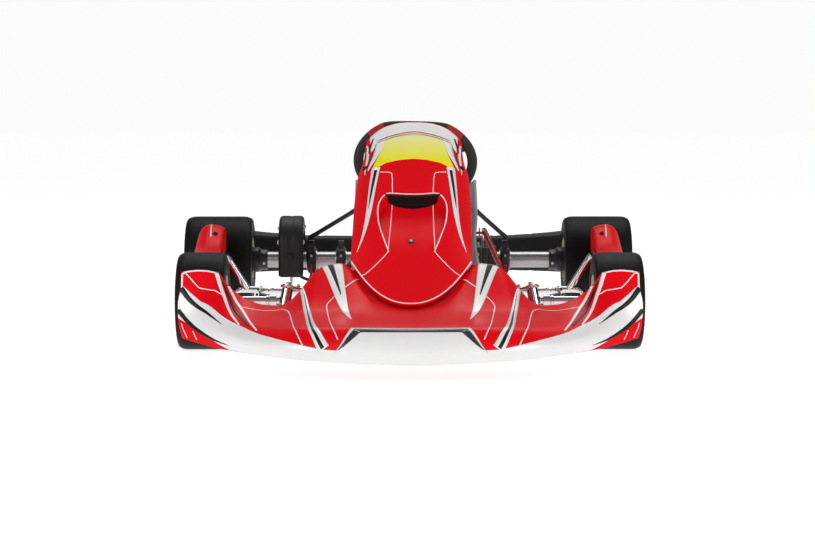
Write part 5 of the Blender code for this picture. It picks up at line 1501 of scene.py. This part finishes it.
# %% Floor tray
tray_top = RAIL_Z - RAIL_R - 0.0003
tray_half = [(0.150, -0.228), (0.232, -0.040), (RAIL_X - 0.010, 0.220), (RAIL_X - 0.010, 0.395)]
tray_outline = [at_front(x, y, 0).xy for x, y in tray_half + [(-x, y) for x, y in tray_half[::-1]]]
tray = slab([tuple(p) for p in tray_outline], 0.0024, Matrix.Translation((0, 0, tray_top - 0.0013)))
holes = [rod(at_front(x, y, tray_top - 0.01), at_front(x, y, tray_top + 0.01), 0.012, 20, 0.0)
         for x in (-0.19, -0.15, 0.15, 0.19) for y in (0.05, 0.10)]
piece("tray_sheet", carved(tray, joined(*holes)), aluminium, "chassis", "floor_tray",
      bevel=0.0005)
spots = [(at_front(s * x, y, tray_top + 0.0002), Z) for s in (1, -1)
         for x, y in ((0.205, 0.02), (0.262, 0.36), (0.120, 0.378), (0.060, -0.185))]
scattered("tray_screws", cap_head(0.0042, 0.0028, 0.008), spots, zinc, "chassis")


# %% [markdown]
# ## Bars and bumpers
# Side bars, the nose's carriers and the rear bar are bright chromed tube; each side bar has a clamp
# where it enters the frame.

# %% Bars
def tube_bolts(name, spots):
    scattered(name, hex_head(0.010, 0.005, 0.0075), spots, zinc, "chassis")


BAR_R, BAR_FRONT_Y, BAR_BACK_Y, BAR_OUT_X = 0.0100, 0.310, WHEELBASE - 0.245, 0.5200
for name, side in SIDES.items():
    inner, low_z = RAIL_X + RAIL_R + 0.0006, RAIL_Z + 0.004
    lower = [(inner, BAR_FRONT_Y, RAIL_Z), (BAR_OUT_X, BAR_FRONT_Y, low_z), (BAR_OUT_X, BAR_BACK_Y, low_z),
             (inner, BAR_BACK_Y, RAIL_Z)]
    upper = [(BAR_OUT_X - 0.035, BAR_FRONT_Y, low_z), (0.550, BAR_FRONT_Y + 0.015, 0.142),
             (0.556, BAR_BACK_Y - 0.010, 0.182), (BAR_OUT_X - 0.035, BAR_BACK_Y, low_z)]
    bars = [pipe([at_front(side * x, y, w) for x, y, w in path], BAR_R, 0.035, 28) for path in (lower, upper)]
    for y in (BAR_FRONT_Y, BAR_BACK_Y):
        bars.append(washer(at_front(side * inner, y, RAIL_Z),
                           at_front(side * (inner + 0.030), y, RAIL_Z + 0.0006),
                           0.0125, 0.009, 32))
    piece("bar_" + name, joined(*bars), chrome, "chassis", "side_bar_" + name)
    tube_bolts("bar_bolts_" + name, [(at_front(side * (inner + 0.015), y, RAIL_Z + 0.0125), Z)
                                     for y in (BAR_FRONT_Y, BAR_BACK_Y)])
BUMPER_X, BUMPER_LOW_Z, BUMPER_HIGH_Z = 0.130, 0.065, 0.122
start = FRONT_LOOP_Y - RAIL_R - 0.0006
parts = []
for w, back in ((BUMPER_LOW_Z, start), (BUMPER_HIGH_Z, -0.270)):
    path = [(-BUMPER_X, back, w), (-BUMPER_X, -0.430, w), (BUMPER_X, -0.430, w), (BUMPER_X, back, w)]
    parts.append(pipe([at_front(*p) for p in path], 0.010, 0.06, 28))
for s in SIDES.values():
    parts.append(rod(at_front(s * BUMPER_X, -0.30, BUMPER_LOW_Z),
                     at_front(s * BUMPER_X, -0.30, BUMPER_HIGH_Z), 0.008, 24))
piece("nose_carrier", joined(*parts), chrome, "chassis", "front_bumper")
start = TAIL_CROSS_Y - WHEELBASE + 0.0003 + RAIL_R
half_path = [(RAIL_X, start, RAIL_Z), (RAIL_X, 0.172, RAIL_Z), (RAIL_X - 0.02, 0.186, AXLE_Z - 0.012)]
path = half_path + [(-x, y, w) for x, y, w in half_path[::-1]]
piece("rear_bar", pipe([Vector((x, REAR_Y + y, w)) for x, y, w in path], 0.010, 0.03, 28), chrome, "chassis",
      "rear_bumper_bar")

# %% [markdown]
# ## Steering
# Wheel, column and a short plate that pushes two tie rods. Stub axles swing on kingpins. The rim is
# suede over a tube with its top cut flat, red at two and ten o'clock, on a three-spoke plate.

# %% Steering wheel
WHEEL_R, RIM_R = 0.1600, 0.0140
wheel_place = column_frame(COLUMN_LENGTH + 0.028)
flat = WHEEL_R * 0.90
RIM_STEPS = 144


def rim_spot(a):
    x, y = WHEEL_R * math.cos(a), WHEEL_R * math.sin(a)
    over = max(y - flat + 0.012, 0.0)
    return Vector((x, y - over + 0.012 * (1 - math.exp(-over / 0.012)), 0))


def rim_arc(start, end, radius, steps):
    path = [wheel_place @ rim_spot(math.radians(start + (end - start) * k / steps)) for k in range(steps + 1)]
    return pipe(path, radius, sides=28)


whole = pipe([wheel_place @ rim_spot(2 * math.pi * k / RIM_STEPS) for k in range(RIM_STEPS)], RIM_R, sides=28,
             loop=True)
piece("wheel_grip", whole, suede, "steering", "steering_wheel")
piece("wheel_red_bands", joined(*[rim_arc(c - 9, c + 9, RIM_R + 0.0005, 16) for c in (50, 130)]), red_suede,
      "steering")
stitches = []
for k in range(120):
    a = 2 * math.pi * (k + 0.5) / 120
    p, ahead = rim_spot(a), rim_spot(a + 0.02)
    along = (ahead - p).normalized()
    inward = Vector((-along.y, along.x, 0))
    spot = p + inward * RIM_R * 0.985
    stitches.append((wheel_place @ spot, wheel_place.to_3x3() @ (Vector((0, 0, 1)) + along * 0.9)))
stitch = skin([[Vector((0.0006 * math.cos(t), 0.0005 * math.sin(t), w)) for t in (0, 1.57, 3.14, 4.71)]
               for w in (-0.0030, 0.0030)])
scattered("wheel_stitches", stitch, stitches, red_film, "steering")
spokes = []
for angle in (25, 155, 270):
    a = math.radians(angle)
    turn = wheel_place @ Matrix.Rotation(a, 4, 'Z')
    reach = WHEEL_R - 0.004
    outline = [(0.018, -0.017), (0.060, -0.0125), (reach - 0.02, -0.0135), (reach, -0.016), (reach, 0.016),
               (reach - 0.02, 0.0135), (0.060, 0.0125), (0.018, 0.017)]
    holes = [rod(turn @ Vector((x, 0, -0.01)), turn @ Vector((x, 0, 0.01)), r, 24, 0.0)
             for x, r in ((0.055, 0.0065), (0.080, 0.0055), (0.103, 0.0048))]
    spokes.append(carved(slab(outline, 0.004, turn), joined(*holes)))
piece("wheel_spokes", joined(*spokes), black_metal, "steering", bevel=0.0006)
hub = placed(lathe([(-0.028, 0), (-0.028, 0.022), (-0.026, 0.024), (-0.010, 0.027), (-0.007, 0.030),
                    (-0.0045, 0.031),
                    (0.0045, 0.031), (0.006, 0.029), (0.006, 0.011), (0.004, 0.009), (0.004, 0)], axis=Z,
                   sides=64),
             wheel_place)
piece("wheel_hub", hub, black_metal, "steering")
turn3 = wheel_place.to_3x3()
spots = [(wheel_place @ Vector((0.0225 * math.cos(a), 0.0225 * math.sin(a), 0.0062)), turn3 @ Z)
         for a in (0.5, 2.6, 4.7)]
spots.append((wheel_place @ Vector((0, 0, 0.0042)), turn3 @ Z))
scattered("wheel_bolts", cap_head(0.0048, 0.0036), spots, zinc, "steering")

# %% Column and tie rods
sleeve = washer(on_column(PITMAN_AT - 0.012), on_column(PITMAN_AT + 0.023), 0.0145, 0.0095, 40)
wide, deep = PITMAN_HALF + 0.011, PITMAN_R + 0.010
plate_outline = rounded([[-0.014, 0.012], [0.014, 0.012], [wide, -PITMAN_R + 0.010], [wide, -deep],
                         [-wide, -deep],
                         [-wide, -PITMAN_R + 0.010], [-0.014, 0.012]], 2)
plate = slab([tuple(p) for p in plate_outline[:-1]], 0.005,
             column_frame(PITMAN_AT) @ Matrix.Translation((0, 0, 0.015)))
column_parts = [rod(on_column(0), on_column(COLUMN_LENGTH - 0.0003), COLUMN_R, 40), sleeve, plate,
                washer(on_column(0.0365), on_column(0.0445), 0.0150, 0.0095, 6)]
piece("column_shaft", joined(*column_parts), chrome, "steering", "steering_column")


def arm_joint(side):
    return at_front(side * 0.4000, 0.0750, FRONT_R + 0.0215)


def pitman_joint(side):
    return on_column(PITMAN_AT) + COLUMN_DOWN * PITMAN_R + X * side * PITMAN_HALF


spots = [(pitman_joint(s) + COLUMN_DIR * 0.0176, COLUMN_DIR) for s in SIDES.values()]
scattered("pitman_nuts", hex_head(0.0095, 0.005), spots, zinc, "steering")
shanks = joined(*[rod(pitman_joint(s) - COLUMN_DIR * 0.009, pitman_joint(s) + COLUMN_DIR * 0.0176, 0.0026, 16)
                  for s in SIDES.values()])
piece("pitman_bolts", shanks, zinc, "steering")
for name, side in SIDES.items():
    outer, inner = arm_joint(side), pitman_joint(side)
    axis = kingpin_axis(side)
    way = (outer - inner).normalized()
    length = (outer - inner).length
    parts = [rod(inner + way * 0.030, outer - way * 0.034, 0.0055, 32)]
    for spot, direction, eye, sign in ((outer, axis, 0.0105, -1), (inner, COLUMN_DIR, 0.0100, 1)):
        parts.append(washer(spot - direction * 0.0050, spot + direction * 0.0050, eye, 0.0072, 40, 0.0012))
        bore = 0.0046 if sign < 0 else 0.0062
        parts.append(lathe([(-0.0056, bore), (-0.0050, bore + 0.0004), (-0.003, 0.0068), (0.0, 0.0071),
                            (0.003, 0.0068), (0.0050, bore + 0.0004), (0.0056, bore)], spot, direction, 36))
        parts.append(rod(spot + way * sign * 0.0092, spot + way * sign * 0.032, 0.0042, 24))
        parts.append(rod(spot + way * sign * 0.020, spot + way * sign * 0.025, 0.0068, 6, 0.0002))
    piece("tie_rod_bar_" + name, joined(*parts), chrome, "tie_rod_" + name, "tie_rod_" + name)

# %% Stub axles and kingpins
for name, side in SIDES.items():
    turn, axis = kingpin_frame(side), kingpin_axis(side)
    root = at_front(side * (KINGPIN_X + 0.004), 0, FRONT_R)
    end = at_front(side * (FRONT_HALF_WIDTH - 0.021), 0, FRONT_R)
    half = YOKE_HALF - 0.001
    barrel_profile = [(-half, KINGPIN_R + 0.0005), (-half, 0.0140), (-half + 0.001, 0.0150),
                      (half - 0.001, 0.0150),
                      (half, 0.0140), (half, KINGPIN_R + 0.0005)]
    parts = [placed(lathe(barrel_profile, axis=Z, sides=48), turn)]
    parts.append(rod(root + X * side * 0.010, end, SPINDLE_R, 40, 0.0012))
    for a, b, r in ((0.353, 0.372, 0.0165), (0.374, 0.380, 0.0150)):
        parts.append(rod(at_front(side * a, 0, FRONT_R), at_front(side * b, 0, FRONT_R), r, 40))
    joint = arm_joint(side)
    arm_end = joint - axis * 0.0155
    parts.append(pipe([at_front(side * (KINGPIN_X + 0.014), 0.004, FRONT_R + 0.004), arm_end], 0.0075,
                      sides=28))
    parts.append(rod(arm_end - axis * 0.004, arm_end + axis * 0.004, 0.0110, 36))
    parts.append(rod(arm_end, joint + axis * 0.010, 0.0035, 20))
    piece("stub_axle_body_" + name, joined(*parts), chrome, "knuckle_" + name,
          "stub_axle_" + name)
    scattered("arm_nuts_" + name, hex_head(0.0095, 0.0045), [(arm_end - axis * 0.0042, -axis)], zinc,
              "knuckle_" + name)
    scattered("stub_nut_" + name, hex_head(0.0230, 0.010, 0.0155),
              [(at_front(side * (FRONT_HALF_WIDTH - 0.0372), 0, FRONT_R), X * side)], zinc, "knuckle_" + name)
    reach = YOKE_HALF + YOKE_T + 0.0003
    pin = placed(rod((0, 0, -reach - 0.009), (0, 0, reach + 0.009), KINGPIN_R, 28), turn)
    caps = [placed(lathe([(reach, KINGPIN_R), (reach, 0.0160), (reach + 0.0025, 0.0160),
                          (reach + 0.0035, 0.0105),
                          (reach + 0.0035, KINGPIN_R)], axis=Z, sides=40), turn)]
    piece("kingpin_pin_" + name, joined(pin, *caps), zinc, "chassis", "kingpin_" + name)
    turn3 = turn.to_3x3()
    scattered("kingpin_nuts_" + name, hex_head(0.0165, 0.007),
              [(turn @ Vector((0, 0, reach + 0.0036)), turn3 @ Z),
               (turn @ Vector((0, 0, -reach)), turn3 @ -Z)], zinc,
              "chassis")

# %% Column support
SUPPORT_AT = 0.350
foot_z = RAIL_Z + RAIL_R + 0.006
top = on_column(SUPPORT_AT)
hoop_half = [at_front(RAIL_X - 0.012, 0.205, foot_z), Vector((0.050, top.y + 0.010, top.z - 0.026))]
hoop = pipe(hoop_half + [Vector((-p.x, p.y, p.z)) for p in hoop_half[::-1]], 0.008, 0.05, 28)
holder = washer(on_column(SUPPORT_AT - 0.016), on_column(SUPPORT_AT + 0.016), 0.0230, COLUMN_R + 0.0005, 48,
                0.0015)
reach = [top - COLUMN_DOWN * 0.018, at_front(0.010, 0.110, 0.424), at_front(0.010, 0.032, 0.449)]
parts = [hoop, holder, pipe(reach, 0.006, 0.02, 20),
         rod(at_front(-0.078, 0.032, 0.449), at_front(0.098, 0.032, 0.449),
                                                       0.0060, 24)]
piece("support_hoop", joined(*parts), black_metal, "chassis", "steering_support")
spots = [(at_front(s * (RAIL_X - 0.012), 0.205, foot_z + 0.004), Z) for s in SIDES.values()]
tube_bolts("support_bolts", spots)

# %% [markdown]
# ## Pedals, cylinder and tank
# Bent-rod pedals with return springs, the brake's master cylinder with its reservoir, and a milky
# tank between the knees.

# %% Pedals, master cylinder and tank
foot_z = RAIL_Z + RAIL_R + 0.0006
for name, side in (("brake_pedal", 1), ("accelerator_pedal", -1)):
    path = [(side * 0.095, FRONT_LOOP_Y, foot_z), (side * 0.095, -0.185, 0.205),
            (side * 0.165, -0.185, 0.205)]
    x, y = side * 0.095, FRONT_Y + FRONT_LOOP_Y
    bolt = rod((x - 0.016, y, foot_z + 0.010), (x + 0.016, y, foot_z + 0.010), 0.004, 20)
    parts = [pipe([at_front(*p) for p in path], 0.005, 0.018, 24),
             brick((x - 0.012, y - 0.010, foot_z), (x + 0.012, y + 0.010, foot_z + 0.020)), bolt,
             rod(at_front(side * 0.120, -0.185, 0.205), at_front(side * 0.163, -0.185, 0.205), 0.0065, 24)]
    piece(name + "_rod", joined(*parts), chrome, "chassis", name, bevel=0.0006)
    coil = [Vector((x + side * 0.018, y, foot_z + 0.010)) + Vector((0.0, 0.0055 * math.cos(t),
                                                                    0.0055 * math.sin(t)))
            + X * side * 0.0006 * t for t in (k * 0.35 for k in range(72))]
    piece(name + "_spring", pipe(coil, 0.0009, sides=8), zinc, "chassis")
z0 = RAIL_Z + RAIL_R + 0.016
body = lathe([(0, 0), (0, 0.0125), (0.0015, 0.014), (0.060, 0.014), (0.062, 0.0120), (0.064, 0.014),
              (0.0835, 0.014),
              (0.085, 0.0125), (0.085, 0)], at_front(0.192, -0.125, z0), Y, 48)
pot = lathe([(0, 0), (0, 0.012), (0.030, 0.012), (0.031, 0.0135), (0.040, 0.0135), (0.042, 0.012),
             (0.042, 0)],
            at_front(0.192, -0.075, z0), Z, 40)
piece("master_cylinder_body", joined(body, pot), black_metal, "chassis",
      "brake_master_cylinder",
      bevel=0.0005)
push = rod(at_front(0.192, -0.125, z0), at_front(0.192, -0.148, z0), 0.0035, 20)
piece("master_cylinder_rod", push, zinc, "chassis")
low_z = RAIL_Z - RAIL_R + 0.0003


def tank_ring(y, top, half):
    outline = []
    for cx, cz, start in ((half - 0.02, low_z + 0.02, 270), (half - 0.02, top - 0.02, 0),
                          (-half + 0.02, top - 0.02, 90),
                          (-half + 0.02, low_z + 0.02, 180)):
        outline += [at_front(cx + 0.02 * math.cos(math.radians(start + 15 * k)), y,
                             cz + 0.02 * math.sin(math.radians(start + 15 * k))) for k in range(7)]
    return outline


TANK_LINE = [(0.130, 0.150, 0.095), (0.145, 0.175, 0.110), (0.180, 0.200, 0.112), (0.285, 0.200, 0.112),
             (0.305, 0.185, 0.100)]
ys = [0.130 + 0.175 * k / 44 for k in range(45)]
rings = []
for k, y in enumerate(ys):
    top_z, wide_x = curve_value(TANK_LINE, y)
    groove = 0.0016 if k % 9 == 4 else 0.0
    rings.append(tank_ring(y, top_z - groove, wide_x - groove))
piece("tank_body", skin(rings), tank_plastic, "chassis", "fuel_tank", bevel=0.0030,
      segments=3)
cap = lathe([(-0.004, 0), (-0.004, 0.026), (0.004, 0.026), (0.0045, 0.0225), (0.018, 0.0225), (0.020, 0.0205),
             (0.020, 0)], at_front(0.045, 0.235, 0.202), Z, 48)
piece("tank_cap", cap, red_film, "chassis")
knurls = [(at_front(0.045, 0.235, 0.213) + Vector((math.cos(a), math.sin(a), 0)) * 0.0222,
           Vector((math.cos(a), math.sin(a), 0))) for a in (2 * math.pi * k / 24 for k in range(24))]
scattered("tank_cap_ribs",
          skin([[Vector((u, w, h)) for u, w in ((-0.0009, -0.006), (0.0009, -0.006), (0.0009, 0.006),
                                                              (-0.0009, 0.006))] for h in (0, 0.0012)]),
          knurls, red_film, "chassis")


# %% Update the scene
bpy.context.view_layer.update()
